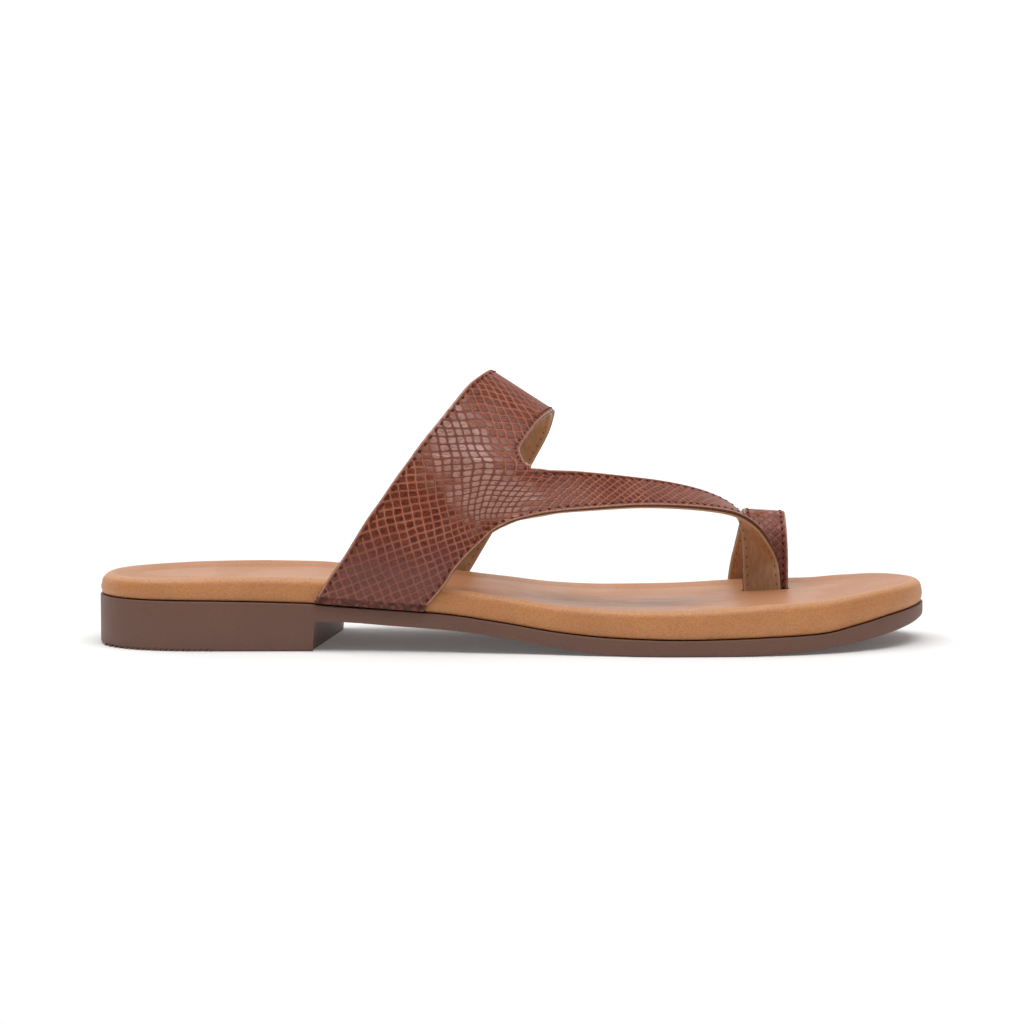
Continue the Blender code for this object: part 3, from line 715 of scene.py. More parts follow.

# %% [markdown]
# ## The leather footbed
# A foam board is wrapped in tan leather. Its side bulges a little, the rim is soft and
# round, and the foot has pressed a shallow dish with small creases into the top. The rings
# give the rim, and each crease is given as a soft ridge or trough.

# %% Footbed mesh
SIDE_BULGE = 0.25 * MM
DISH = ((3.3, 0.0), (6.15, 0.28), (9.0, 0.66))
# Ridges and troughs of the top, in mm. Columns: x, y, half length, half width, turn, height
FOOTBED_CREASES = (
    (57.0, -17.0, 9.0, 1.6, 4.0, 0.38),
    (52.0, -13.5, 11.0, 1.5, 2.0, -0.30),
    (30.0, -8.0, 24.0, 3.5, -3.0, -0.28),
    (25.0, -27.0, 18.0, 1.6, 3.0, 0.22),
    (-18.0, -21.0, 14.0, 1.5, -6.0, 0.25),
    (-85.0, -22.0, 26.0, 1.8, 0.0, 0.16),
    (95.0, -12.0, 14.0, 6.0, 20.0, -0.25),
    (84.0, 5.0, 9.0, 2.2, 70.0, 0.20),
)


def crease_height(x, y, creases):
    """Sum of soft ridges and troughs at a spot, in metres."""
    total = 0.0
    for cx, cy, length, width, turn, height in creases:
        a = radians(turn)
        dx, dy = x / MM - cx, y / MM - cy
        u, v = dx * cos(a) + dy * sin(a), dy * cos(a) - dx * sin(a)
        total += height * exp(-(u / length) ** 2 - (v / width) ** 2)
    return total * MM


def make_footbed(material):
    shares = stations(40, 150, 56)
    shell = Shell()

    def base(x):
        return welt_height(x) + CLEARANCE

    profile = [(0.9 * MM, lambda x, s: base(x)), (0.35 * MM, lambda x, s: base(x) + 0.05 * MM),
               (0.08 * MM, lambda x, s: base(x) + 0.3 * MM)]
    for t in (0.0, 0.2, 0.4, 0.6, 0.8):
        def height(x, s, t=t):
            low, high = base(x) + 0.7 * MM, rim_height(x) - 0.92 * FOOTBED_ROUND
            return low + t * (high - low)
        profile.append((-SIDE_BULGE * sin(pi * t) - 0.02 * MM, height))
    for turn in range(0, 90, 10):
        angle = radians(turn)
        drop = 0.92 * FOOTBED_ROUND * (1 - sin(angle))
        profile.append((FOOTBED_ROUND * (1 - cos(angle)), lambda x, s, d=drop: rim_height(x) - d))
    for d in (3.3, 3.9, 4.6, 5.4, 6.2, 7.0, 8.0, 9.0):
        dip = smooth_table(DISH, d)[0]
        profile.append((d * MM, lambda x, s, p=dip: rim_height(x) - p * dish_depth(x)))
    rings = [add_ring(shell, shares, inset, height, edge=ledge_width) for inset, height in profile]
    for lower, upper in zip(rings, rings[1:]):
        join_rings(shell, lower, upper)

    def bowl(x, share, t):
        last = ledge_width(share) + FOOTBED_RIM
        width = outline(share, 1, last)[1] - outline(share, -1, last)[1]
        fullness = sin(pi * t) * min(1.0, width / HALF_BALL) ** 2
        return rim_height(x) - dish_depth(x) * (0.66 + 0.34 * fullness)

    add_cap(shell, shares, rings[0], 8, 0.0, lambda x, s, t: base(x), facing_up=False)
    first_top = len(shell.points)
    add_cap(shell, shares, rings[-1], 56, FOOTBED_RIM, bowl, facing_up=True)
    for k, (x, y, z) in enumerate(shell.points):
        if shell.insets[k] > 2.2 * MM or k >= first_top:
            shell.points[k][2] = z + crease_height(x, y, FOOTBED_CREASES)
    piece = mesh_object("footbed_leather", shell.points, shell.faces, material)
    set_float(piece.data, "inset_mm", np.array(shell.insets) / MM)
    return piece


# %% [markdown]
# ## Room for the straps
# The ends of the straps are glued under the footbed, and the toe post goes through a slot in
# it. Both rooms are cut with simple closed blocks and an exact Boolean, because the blocks
# can follow the sole's outline at any place.

# %% Room for the straps in the footbed
HEM_INSET = LEDGE - CLEARANCE - 0.5 * STRAP_WALL
HEM_LIFT = CLEARANCE + 0.5 * STRAP_WALL
# The strap covers the heel end of its room, so that no dark gap shows beside the strap
HEEL_END_OVERLAP = 0.6 * MM
TOE_END_ROOM = 0.1 * MM


def hem_point(share, side, inset, lift):
    x, y = outline(share, side, inset)
    return Vector((x, y, welt_height(x) + lift))


def margin_cutter(name, hem, side):
    """The room in the footbed's underside for a strap's lasting margin."""
    start = hem[0][0] + HEEL_END_OVERLAP / SOLE_LENGTH
    end = hem[0][1] + TOE_END_ROOM / SOLE_LENGTH
    top, depth, steps = HEM_LIFT + 0.5 * STRAP_WALL + CLEARANCE, LASTING_MARGIN + CLEARANCE, 12
    corners = ((-2 * LEDGE, -FOREPART_EDGE), (-2 * LEDGE, top), (depth, top), (depth, -FOREPART_EDGE))
    points, faces = [], []
    for i in range(steps + 1):
        share = start + (end - start) * i / steps
        points += [hem_point(share, side, *corner) for corner in corners]
    for i in range(steps):
        for j in range(4):
            k = (j + 1) % 4
            quad = (4 * i + j, 4 * i + k, 4 * i + 4 + k, 4 * i + 4 + j)
            faces.append(quad[::-1] if side < 0 else quad)
    first, last = (0, 1, 2, 3), tuple(4 * steps + j for j in range(4))
    faces += [first, last[::-1]] if side < 0 else [first[::-1], last]
    return mesh_object(name, points, faces, None, smooth=False)


def slot_cutter():
    """The slot for the two legs of the toe post, with round ends."""
    heel_x, toe_x = along(POST[-1][0]) - 2 * CLEARANCE, along(LOOP[0][2]) + 2 * CLEARANCE
    half = STRAP_WALL + 0.5 * CLEARANCE
    rim = [(toe_x - half + half * sin(a), half * cos(a)) for a in np.linspace(0, pi, 9)]
    rim += [(heel_x + half - half * sin(a), -half * cos(a)) for a in np.linspace(0, pi, 9)]
    count = len(rim)
    points = [(x, POST_INWARD + y, z) for z in (0.0, LOOP_HEIGHT) for x, y in rim]
    faces = [(j, j + count, (j + 1) % count + count, (j + 1) % count) for j in range(count)]
    faces += [tuple(range(count)), tuple(range(2 * count - 1, count - 1, -1))]
    return mesh_object("slot_cutter", points, faces, None, smooth=False)


def cut_away(piece, cutters):
    for cutter in cutters:
        modifier = piece.modifiers.new(cutter.name, "BOOLEAN")
        modifier.operation, modifier.solver, modifier.object = "DIFFERENCE", "EXACT", cutter
    plain_mesh(piece)
    for cutter in cutters:
        bpy.data.objects.remove(cutter)


# %% [markdown]
# ## Tan leather finish
# The leather is warm tan. The crest of the rim is painted paler as a highlight, and a patch
# on the forefoot is painted greyer and streaked, as the straps' shadow mixed with rubbing. The
# distance from the outline is kept on each point, so one attribute tells the side, the crest
# and the top apart without any image.

# %% Tan leather
SHADE_AND_WEAR_PLACE, SHADE_AND_WEAR_HALF = (0.032, -0.004), (0.036, 0.017)
TAN, made, shader = new_material("tan_leather")
place = made.place()
inset = made.attribute("inset_mm")
on_top = made.step(inset, 0.6, 4.2)
split = made.add("ShaderNodeSeparateXYZ", {0: place}).outputs
side_tan, top_tan = (*linear(206, 142, 92), 1.0), (*linear(196, 138, 98), 1.0)
side_tone = made.effect(TONE, Place=place, Colour=side_tan, Amount=0.10, Scale=70.0)
top_tone = made.effect(TONE, Place=place, Colour=top_tan, Amount=0.07, Scale=38.0)
colour = made.mix(on_top, side_tone["Colour"], top_tone["Colour"])
# Painted highlight: the crest of the rim is tinted paler, where the light catches its round
crest_highlight = made.math("MULTIPLY", made.step(inset, 0.2, 1.2), made.step(inset, 4.5, 2.2))
colour = made.tint(colour, crest_highlight, 0.55, linear(222, 166, 122))
# Painted shade of the straps on the forefoot: a greyer patch, streaked like rubbing
squares = []
for axis, middle, half in zip("XY", SHADE_AND_WEAR_PLACE, SHADE_AND_WEAR_HALF):
    away = made.math("DIVIDE", made.math("SUBTRACT", split[axis], middle), half)
    squares.append(made.math("MULTIPLY", away, away))
shade_and_wear_patch = made.math("ADD", *squares)
streaks = made.noise(place, 160.0, 4.0, 0.6, (0.25, 1.0, 1.0))
shade_and_wear_patch = made.math("MULTIPLY", made.step(shade_and_wear_patch, 0.15, 1.25, 1.0, 0.0), made.step(streaks, 0.3, 0.62))
colour = made.tint(colour, shade_and_wear_patch, 0.55, linear(128, 100, 84))
grain = made.effect(GRAIN, Place=place, Scale=1900.0, Softness=0.5)
colour = made.tint(colour, grain["Pores"], 0.22, linear(140, 82, 46))
made.feed(shader["Base Color"], colour)
made.feed(shader["Roughness"], made.step(top_tone["Mask"], 0.0, 1.0, 0.50, 0.42))
shader["Specular IOR Level"].default_value = 0.30
shader["Coat Roughness"].default_value = 0.45
made.feed(shader["Coat Weight"], made.step(on_top, 0.0, 1.0, 0.03, 0.05))
wide = made.bump(made.noise(place, 240.0, 3.0, 0.5), 0.12 * MM, 0.5)
made.feed(shader["Normal"], made.bump(grain["Height"], 0.045 * MM, 0.8, wide))

# %% Footbed in place
footbed = make_footbed(TAN)
cut_away(footbed, [
    slot_cutter(),
    margin_cutter("band_outer_room", BAND_OUTER_HEM, -1),
    margin_cutter("band_inner_room", BAND_INNER_HEM, 1),
    margin_cutter("loop_inner_room", LOOP_INNER_HEM, 1),
])
footbed.data.set_sharp_from_angle(angle=radians(50))
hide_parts("footbed")
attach(footbed, "root")
print("footbed faces", len(footbed.data.polygons))

# %% [markdown]
# ## The straps as sheets
# Straps are cut flat from leather, so each starts as a sheet without thickness: rows of
# points from one edge to the other, along the same edges as the solids. Rows lie closer
# together at the edges, where the leather turns over and the stitches sink in.

# %% Rows of the straps
ROWS_BETWEEN = 12
MARGIN_ROWS = 8
BAND_COLUMNS, LOOP_COLUMNS = 44, 12
# Rows of the diagonal strap over which the band's own marks and its bow fade out
MARKS_ROWS, BOW_ROWS = 14, 2 * ROWS_BETWEEN
ROOT_REACH, ROOT_ROUNDS = 13 * MM, 120
EDGE_MARKS = tuple(m * MM for m in (0.0, 0.12, 0.30, 0.60, 1.0, 1.5, 1.95, 2.6))
# The marks of one edge take at most this share of a strap's width
EDGE_SHARE = 0.36
STITCH_COLUMN = 5


def spline(points, steps):
    """Points on a smooth curve through the given ones, with steps between each two."""
    found = []
    for i in range(len(points) - 1):
        a, b = points[i], points[i + 1]
        before = points[i - 1] if i else a + (a - b)
        after = points[i + 2] if i + 2 < len(points) else b + (b - a)
        for j in range(steps):
            t = j / steps
            found.append(0.5 * (
                2 * a + (b - before) * t + (2 * before - 5 * a + 4 * b - after) * t * t
                + (3 * a - before - 3 * b + after) * t ** 3
            ))
    return found + [points[-1]]


def hem_rows(hem, side):
    steps = [i / MARGIN_ROWS for i in range(MARGIN_ROWS, -1, -1)]
    insets = [LASTING_MARGIN * t + HEM_INSET * (1 - t) for t in steps]
    return [tuple(hem_point(share, side, inset, HEM_LIFT) for share in hem[0]) for inset in insets]


def rim_row(hem, side):
    lift = FOOTBED_EDGE + STRAP_WALL
    return tuple(hem_point(share, side, HEM_INSET, lift) for share in hem[1])


def upper_point(share, inward, up):
    return Vector((along(share), inward * HALF_BALL, up * INSTEP_HEIGHT))


def cross_marks(length, middle):
    """Shares across a strap: close together at both edges and even between them."""
    shrink = min(1.0, EDGE_SHARE * length / EDGE_MARKS[-1])
    near = [mark * shrink / length for mark in EDGE_MARKS]
    inner = [near[-1] + (1 - 2 * near[-1]) * (i + 1) / (middle + 1) for i in range(middle)]
    return near + inner + [1 - mark for mark in reversed(near)]


class Sheet:
    """A sheet of leather without thickness, as rows of points joined by faces."""

    def __init__(self):
        self.points, self.faces = [], []

    def row(self, start, end, marks):
        first = len(self.points)
        self.points += [start.lerp(end, t) for t in marks]
        return list(range(first, len(self.points)))

    def bridge(self, rows):
        for near, far in zip(rows, rows[1:]):
            for j in range(len(near) - 1):
                self.faces.append((near[j + 1], far[j + 1], far[j], near[j]))


print("marks across the band", len(cross_marks(0.05, BAND_COLUMNS)))

# %% [markdown]
# ## One sheet for the band and the diagonal strap
# The real upper is cut in one piece, so its sheet is one too. The band's rows go from hem to
# hem over the instep. The strap's rows start from the points of the band's own edge, so the
# two are joined, and the bow of that edge fades out along the strap. Without the bow the
# sheet would fold back on itself at the root.


# %% Sheet of the upper
def make_upper_sheet():
    """The band and the diagonal strap in one, and the vertex rows of both."""
    sheet = Sheet()
    outer, outer_rim = hem_rows(BAND_OUTER_HEM, -1), rim_row(BAND_OUTER_HEM, -1)
    inner, inner_rim = hem_rows(BAND_INNER_HEM, 1), rim_row(BAND_INNER_HEM, 1)
    edges = []
    for side in (0, 1):
        free = [upper_point(*row[3 * side:3 * side + 3]) for row in BAND]
        whole = [outer[-1][side], outer_rim[side]] + free + [inner_rim[side], inner[-1][side]]
        edges.append(spline(whole, ROWS_BETWEEN))
    pairs = outer[:-1] + list(zip(*edges)) + list(reversed(inner[:-1]))
    band = [sheet.row(a, b, cross_marks((b - a).length, BAND_COLUMNS)) for a, b in pairs]
    sheet.bridge(band)
    margin = len(outer) - 1
    first = margin + (BRANCH_FROM_ROW + 2) * ROWS_BETWEEN
    last = margin + (BRANCH_TO_ROW + 2) * ROWS_BETWEEN
    root = [band[k][-1] for k in range(last, first - 1, -1)]

    post_y = POST_INWARD - 0.5 * (STRAP_WALL + CLEARANCE)
    sides = []
    for side in (0, 1):
        edge = [sheet.points[root[-side]]]
        edge += [upper_point(*row[3 * side:3 * side + 3]) for row in DIAGONAL]
        for row in POST:
            share, up = row[2 * side:2 * side + 2]
            edge.append(Vector((along(share), post_y, up * INSTEP_HEIGHT)))
        x = edge[-1].x
        edge.append(Vector((x, post_y, welt_height(x) + CLEARANCE)))
        sides.append(spline(edge, ROWS_BETWEEN))
    strap = [root]
    start, end = sheet.points[root[0]], sheet.points[root[-1]]
    root_marks = [(sheet.points[k] - start).length / (end - start).length for k in root]
    bow = [sheet.points[k] - start.lerp(end, t) for k, t in zip(root, root_marks)]
    for k, (a, b) in enumerate(list(zip(*sides))[1:]):
        fine = cross_marks((b - a).length, len(root) - 2 * len(EDGE_MARKS))
        blend = ease(k, 0, MARKS_ROWS)
        marks = [(1 - blend) * s + blend * t for s, t in zip(root_marks, fine)]
        row = sheet.row(a, b, marks)
        for spot, step in zip(row, bow):
            sheet.points[spot] = sheet.points[spot] + (1 - ease(k, 0, BOW_ROWS)) * step
        strap.append(row)
    sheet.bridge(strap)
    return sheet, band, strap


upper_sheet, band_rows, strap_rows = make_upper_sheet()
print("upper sheet", len(upper_sheet.points), "points")

# %% [markdown]
# ## The sheet of the toe loop
# The toe loop is a strip of its own. It rises out of the slot right beside the strap's post,
# goes over the big toe and comes down outside the inner edge of the footbed.


# %% Sheet of the toe loop
def make_loop_sheet():
    """The strip over the big toe, from the slot to the inner edge of the footbed."""
    sheet = Sheet()
    post_y = POST_INWARD + 0.5 * (STRAP_WALL + CLEARANCE)
    inner, inner_rim = hem_rows(LOOP_INNER_HEM, 1), rim_row(LOOP_INNER_HEM, 1)
    edges = []
    for side in (0, 1):
        x = along(LOOP[0][2 * side])
        low = welt_height(x) + CLEARANCE
        middle = 0.5 * (low + LOOP[0][-1] * LOOP_HEIGHT)
        edge = [Vector((x, post_y, low)), Vector((x, post_y, middle))]
        for row in LOOP:
            share, inward = row[2 * side:2 * side + 2]
            height = row[-1] * LOOP_HEIGHT * (1 - side * LOOP_TILT)
            edge.append(Vector((along(share), max(post_y, inward * HALF_BALL), height)))
        edges.append(spline(edge + [inner_rim[side], inner[-1][side]], ROWS_BETWEEN))
    pairs = list(zip(*edges)) + list(reversed(inner[:-1]))
    rows = [sheet.row(a, b, cross_marks((b - a).length, LOOP_COLUMNS)) for a, b in pairs]
    sheet.bridge(rows)
    return sheet, rows


loop_sheet, loop_rows = make_loop_sheet()
print("loop sheet", len(loop_sheet.points), "points")

# %% [markdown]
# ## Smooth the root of the strap
# Where the strap leaves the band, rows of two directions meet, and real leather has no kink
# there. Rounds of averaging take it out. Points move only along the surface's normal, so
# the edges and the stitch lines keep their place.


# %% Relax the root
def relax(sheet, spots, reach, rounds):
    """Smooth a sheet near some spots, moving points only along the normal."""
    xyz = np.array([p[:] for p in sheet.points])
    quads = np.array(sheet.faces)
    near = np.min(np.linalg.norm(xyz[:, None] - np.array(spots)[None], axis=2), axis=1)
    weight = np.clip(1 - near / reach, 0, 1)
    a, b = quads.ravel(), np.roll(quads, -1, axis=1).ravel()
    keys = set(zip(a.tolist(), b.tolist()))
    rim = {k for pair in keys if (pair[1], pair[0]) not in keys for k in pair}
    weight[list(rim)] = 0.0
    for _ in range(rounds):
        corners = xyz[quads]
        face_normal = np.cross(corners[:, 2] - corners[:, 0], corners[:, 3] - corners[:, 1])
        normal, total, count = np.zeros_like(xyz), np.zeros_like(xyz), np.zeros(len(xyz))
        for j in range(4):
            np.add.at(normal, quads[:, j], face_normal)
            for k in (j + 1, j + 3):
                np.add.at(total, quads[:, j], corners[:, k % 4])
                np.add.at(count, quads[:, j], 1)
        normal /= np.maximum(np.linalg.norm(normal, axis=1, keepdims=True), 1e-12)
        pull = total / count[:, None] - xyz
        xyz += 0.5 * weight[:, None] * normal * np.sum(pull * normal, axis=1, keepdims=True)
    sheet.points = [Vector(p) for p in xyz]


root_spots = [upper_sheet.points[k][:] for k in strap_rows[0]]
relax(upper_sheet, root_spots, ROOT_REACH, ROOT_ROUNDS)
print("relaxed around", len(root_spots), "points of the root")

# %% [markdown]
# ## Flat coordinates and edge distance
# The scale pattern was pressed into flat leather, so it starts from coordinates on the flat
# sheet. Blender's unwrap flattens the sheet, and the result is turned so that U points
# to the toe and V points up on the outer side. The distance of each point from the cut edge
# drives the turned edge, the stitch line and the wear.


# %% Measure a sheet
RIM_STEPS = 8


def measure_sheet(sheet, centre):
    """Give a sheet its normals, its flat coordinates in mm, and its distance to the edge."""
    probe = mesh_object("probe", sheet.points, sheet.faces, None)
    mesh = probe.data
    mesh.uv_layers.new(name="flat")
    bpy.context.view_layer.objects.active = probe
    probe.select_set(True)
    bpy.ops.object.mode_set(mode="EDIT")
    bpy.ops.mesh.select_all(action="SELECT")
    bpy.ops.uv.unwrap(method="ANGLE_BASED", margin=0.0)
    bpy.ops.object.mode_set(mode="OBJECT")
    sheet.normals = np.array([v.normal[:] for v in mesh.vertices])
    flat = np.zeros((len(mesh.vertices), 2))
    for loop, uv in zip(mesh.loops, mesh.uv_layers["flat"].data):
        flat[loop.vertex_index] = uv.uv[:]
    xyz = np.array([p[:] for p in sheet.points])
    ends = np.array([e.vertices[:] for e in mesh.edges])
    real = np.linalg.norm(xyz[ends[:, 0]] - xyz[ends[:, 1]], axis=1)
    drawn = np.linalg.norm(flat[ends[:, 0]] - flat[ends[:, 1]], axis=1)
    flat *= real.sum() / drawn.sum() / MM

    used = {}
    for face in sheet.faces:
        for a, b in zip(face, face[1:] + face[:1]):
            used[(a, b)] = True
    sheet.rim = [(a, b) for a, b in used if (b, a) not in used]
    tree = KDTree(len(sheet.rim) * RIM_STEPS)
    for k, (a, b) in enumerate(sheet.rim):
        for j in range(RIM_STEPS):
            tree.insert(sheet.points[a].lerp(sheet.points[b], j / RIM_STEPS), RIM_STEPS * k + j)
    tree.balance()
    nearest = [tree.find(p) for p in sheet.points]
    sheet.edge_mm = np.array([found[2] for found in nearest]) / MM
    sheet.edge_point = np.array([found[0][:] for found in nearest])

    about = np.where(np.linalg.norm(xyz - xyz[centre], axis=1) < 7 * MM)[0]
    normal = sheet.normals[centre]
    forward = np.array([1.0, 0.0, 0.0]) - normal[0] * normal
    forward /= np.linalg.norm(forward)
    upward = np.cross(normal, forward)
    local = (xyz[about] - xyz[centre]) @ np.stack([forward, upward], axis=1) / MM
    turn = np.linalg.lstsq(local, flat[about] - flat[centre], rcond=None)[0]
    rows = turn / np.linalg.norm(turn, axis=1, keepdims=True)
    sheet.flat = (flat - flat[centre]) @ rows.T
    sheet.xyz = xyz
    bpy.data.objects.remove(probe)
    stretch = np.linalg.norm(sheet.flat[ends[:, 0]] - sheet.flat[ends[:, 1]], axis=1) * MM / real
    print("sheet normal at its centre", normal.round(2), "stretch",
          np.percentile(stretch, (2, 50, 98)).round(3))


# The band's flat coordinates start at this row of its table, beside the notch
NOTCH_BAND_ROW = 6
notch_row = MARGIN_ROWS + (NOTCH_BAND_ROW + 2) * ROWS_BETWEEN
measure_sheet(upper_sheet, band_rows[notch_row][len(band_rows[0]) // 2])
measure_sheet(loop_sheet, loop_rows[4 * ROWS_BETWEEN][len(loop_rows[0]) // 2])

# %% [markdown]
# ## How the scales run
# Two families of lines cross on the leather: rows, and steep lines that lean back towards
# the toe. A table gives their slopes at each height of the band. Below the notch the steep
# lines swing over to the other side and the rows fall away, so the strap has diamonds. Each
# point finds the line that it lies on, and the numbers of both lines go to the material.
# The slopes are fitted to the outer side, which the photograph shows. Beyond the top of the
# instep they hold less well, and the net is stretched there.

# %% Net coordinates
# Columns: height on the band, lean of the steep lines, rise of the rows, distance of rows
BAND_NET = (
    (-50.0, 0.42, 0.46, 2.50),
    (-35.0, 0.36, 0.40, 2.50),
    (-24.0, 0.26, 0.29, 2.50),
    (-12.0, 0.14, 0.14, 2.35),
    (-3.0, 0.16, 0.08, 2.35),
    (4.0, 0.22, 0.08, 2.55),
    (14.0, 0.42, 0.12, 2.60),
    (60.0, 0.46, 0.14, 2.60),
)
SCALE_ACROSS, SCALE_LOOP = 2.75, 2.1
STRAP_MIDDLE, STRAP_LEAN = -10.0, -0.85
NET_STEP = 0.5


def soft(value, low, high):
    """The same soft step as ease, for whole arrays."""
    t = np.clip((value - low) / (high - low), 0, 1)
    return t * t * (3 - 2 * t)


def net_on_upper(flat):
    """Numbers of the steep line and the row at each spot, for flat coordinates in mm."""
    u, v = flat[:, 0], flat[:, 1]
    heights = np.arange(-60.0, 80.0, NET_STEP)
    table = np.array(BAND_NET)
    lean, rise, apart = (np.interp(heights, table[:, 0], table[:, k]) for k in (1, 2, 3))
    drift = np.cumsum(lean) * NET_STEP
    drift -= np.interp(STRAP_MIDDLE, heights, drift)
    below_notch = np.maximum(soft(-v, -3, 7) * soft(v, -40, -14), soft(u, 20, 32))
    steep = u.copy()
    for _ in range(30):
        swung = soft(steep, -12, 22) * below_notch
        band_shift = np.interp(v, heights, drift)
        strap_shift = STRAP_LEAN * (v - STRAP_MIDDLE)
        steep = 0.5 * (steep + u + (1 - swung) * band_shift + swung * strap_shift)
    places = np.arange(-80.0, 160.0, NET_STEP)
    fall = np.cumsum(STRAP_LEAN * soft(places, 16, 44)) * NET_STEP
    row = v.copy()
    for _ in range(30):
        slope = np.interp(row, heights, rise)
        row = 0.5 * (row + v - slope * (np.clip(u, -60, 4) + 22) - np.interp(u, places, fall))
    number = np.interp(row, heights, np.cumsum(NET_STEP / apart))
    number += np.clip(row - heights[-1], 0, None) / apart[-1]
    return np.stack([steep / SCALE_ACROSS, number], axis=1)


def net_on_loop(flat):
    turned = flat @ np.array([[0.74, -0.67], [0.67, 0.74]])
    return turned / SCALE_LOOP


upper_sheet.net = net_on_upper(upper_sheet.flat)
loop_sheet.net = net_on_loop(loop_sheet.flat)
print("net lines on the upper", upper_sheet.net.min(axis=0).round(1), "to",
      upper_sheet.net.max(axis=0).round(1))

# %% [markdown]
# ## Glossy patches with a painted highlight
# Each patch is a soft oval on the flat sheet, where the overhead light reflects on the strap.
# There the leather is glossier and its scales are painted pale as a highlight. Its strength is
# kept on every point, for the material to read.

# %% Glossy patches with a painted highlight
# Columns: u, v, half length, half width, turn, amount
POLISH_AND_HIGHLIGHT = (
    (-3.5, 0.0, 23.0, 13.5, -60.0, 1.0),
    (9.0, -15.0, 12.0, 6.5, 15.0, 0.8),
)
LOOP_POLISH_AND_HIGHLIGHT = 0.45


def patches(flat, table):
    """Sum of soft patches at each spot of a sheet."""
    total = np.zeros(len(flat))
    for cu, cv, length, width, turn, amount in table:
        a = radians(turn)
        du, dv = flat[:, 0] - cu, flat[:, 1] - cv
        u, v = du * cos(a) + dv * sin(a), dv * cos(a) - du * sin(a)
        total += amount * np.exp(-(u / length) ** 2 - (v / width) ** 2)
    return total


def lift_mm(sheet):
    """Height over the sole's upper edge, which marks the crimped hem."""
    return np.array([p[2] - welt_height(p[0]) for p in sheet.xyz]) / MM


upper_sheet.polish = np.clip(patches(upper_sheet.flat, POLISH_AND_HIGHLIGHT), 0, 1)
loop_sheet.polish = np.full(len(loop_sheet.xyz), LOOP_POLISH_AND_HIGHLIGHT)
print("mean polish of the upper", round(float(upper_sheet.polish.mean()), 3))

# %% [markdown]
# ## Leather and lining
# Each strap is two layers. The snake leather is thick, with an edge that turns over and a
# shallow furrow where the stitches pull it down. The lining is thinner and ends a little
# inside the edge. Both layers together keep the wall of the solid.

# %% Thick layers
HALF_WALL = 0.5 * STRAP_WALL
PARTING = -0.25 * MM
LINING_INSET = 0.30
TURN_RADIUS = 0.55
STITCH_INSET = 1.5
# Soft folds of the straps, in flat mm. Columns: u, v, half length, half width, turn, height
STRAP_FOLDS = (
    (-8.0, -14.0, 16.0, 2.0, 14.0, -0.10),
    (-4.0, -18.5, 14.0, 1.6, 16.0, 0.08),
    (6.0, -22.0, 15.0, 2.0, 20.0, -0.10),
    (22.0, -15.0, 12.0, 2.4, 24.0, 0.10),
    (-6.0, 14.0, 13.0, 2.0, -30.0, 0.08),
)


def quarter(d, radius):
    """How far a rounded edge has dropped at a distance from the edge, as a share."""
    t = np.clip(1 - d / radius, 0, 1)
    return 1 - np.sqrt(1 - t * t)


def layer_object(name, sheet, over, under, shift_in, material):
    """A closed layer between two offsets from the sheet, its edge moved in by shift_in."""
    base = sheet.xyz.copy()
    if shift_in:
        away = base - sheet.edge_point
        inner = {}
        for face in sheet.faces:
            middle = base[list(face)].mean(axis=0)
            for k in face:
                inner.setdefault(k, []).append(middle)
        for a, b in sheet.rim:
            along_rim = base[b] - base[a]
            along_rim /= np.linalg.norm(along_rim)
            for k in (a, b):
                into = np.mean(inner[k], axis=0) - base[k]
                away[k] = into - along_rim * (into @ along_rim)
        away /= np.maximum(np.linalg.norm(away, axis=1, keepdims=True), 1e-9)
        amount = shift_in * np.clip(1 - sheet.edge_mm / 1.5, 0, 1) * MM
        base = base + away * amount[:, None]
    top = base + sheet.normals * over[:, None]
    bottom = base + sheet.normals * under[:, None]
    count = len(base)
    faces = [tuple(f) for f in sheet.faces]
    faces += [tuple(k + count for k in reversed(f)) for f in sheet.faces]
    faces += [(b, a, a + count, b + count) for a, b in sheet.rim]
    piece = mesh_object(name, np.concatenate([top, bottom]), faces, material)
    mesh = piece.data
    corner = np.zeros(len(mesh.loops), np.int32)
    mesh.loops.foreach_get("vertex_index", corner)
    for label, values in (("net", sheet.net), ("flat", sheet.flat)):
        layer = mesh.uv_layers.new(name=label)
        layer.data.foreach_set("uv", np.tile(values, (2, 1))[corner].astype(np.float32).ravel())
    set_float(mesh, "edge_mm", np.tile(sheet.edge_mm, 2))
    set_float(mesh, "polish", np.tile(sheet.polish, 2))
    set_float(mesh, "lift_mm", np.tile(lift_mm(sheet), 2))
    mesh.set_sharp_from_angle(angle=radians(60))
    return piece


def leather_offsets(sheet, folds=()):
    d = sheet.edge_mm
    furrow = 0.11 * np.exp(-((d - STITCH_INSET) / 0.32) ** 2)
    bead = 0.05 * np.exp(-((d - 0.72) / 0.25) ** 2)
    waves = patches(sheet.flat, folds)
    over = HALF_WALL + (bead - furrow + waves - 0.5 * quarter(d, TURN_RADIUS)) * MM
    under = PARTING + 0.35 * quarter(d, TURN_RADIUS) * MM
    return over, under


def lining_offsets(sheet):
    d = sheet.edge_mm
    over = np.full(len(d), PARTING) - 0.02 * MM
    furrow = 0.08 * np.exp(-((d - STITCH_INSET) / 0.30) ** 2)
    under = -HALF_WALL + (0.22 * quarter(d, 0.4) + furrow) * MM
    return over, under


# %% [markdown]
# ## Snake leather finish
# The emboss is a net of rounded scales. Each scale is dark and polished at its middle, and
# the thin grooves between them stay lighter and dull. Under a soft light the polished
# domes reflect, so the same finish looks pale in the light and dark in the shade.

# %% Scale net effect
SCALE_ROUNDNESS = 3.4
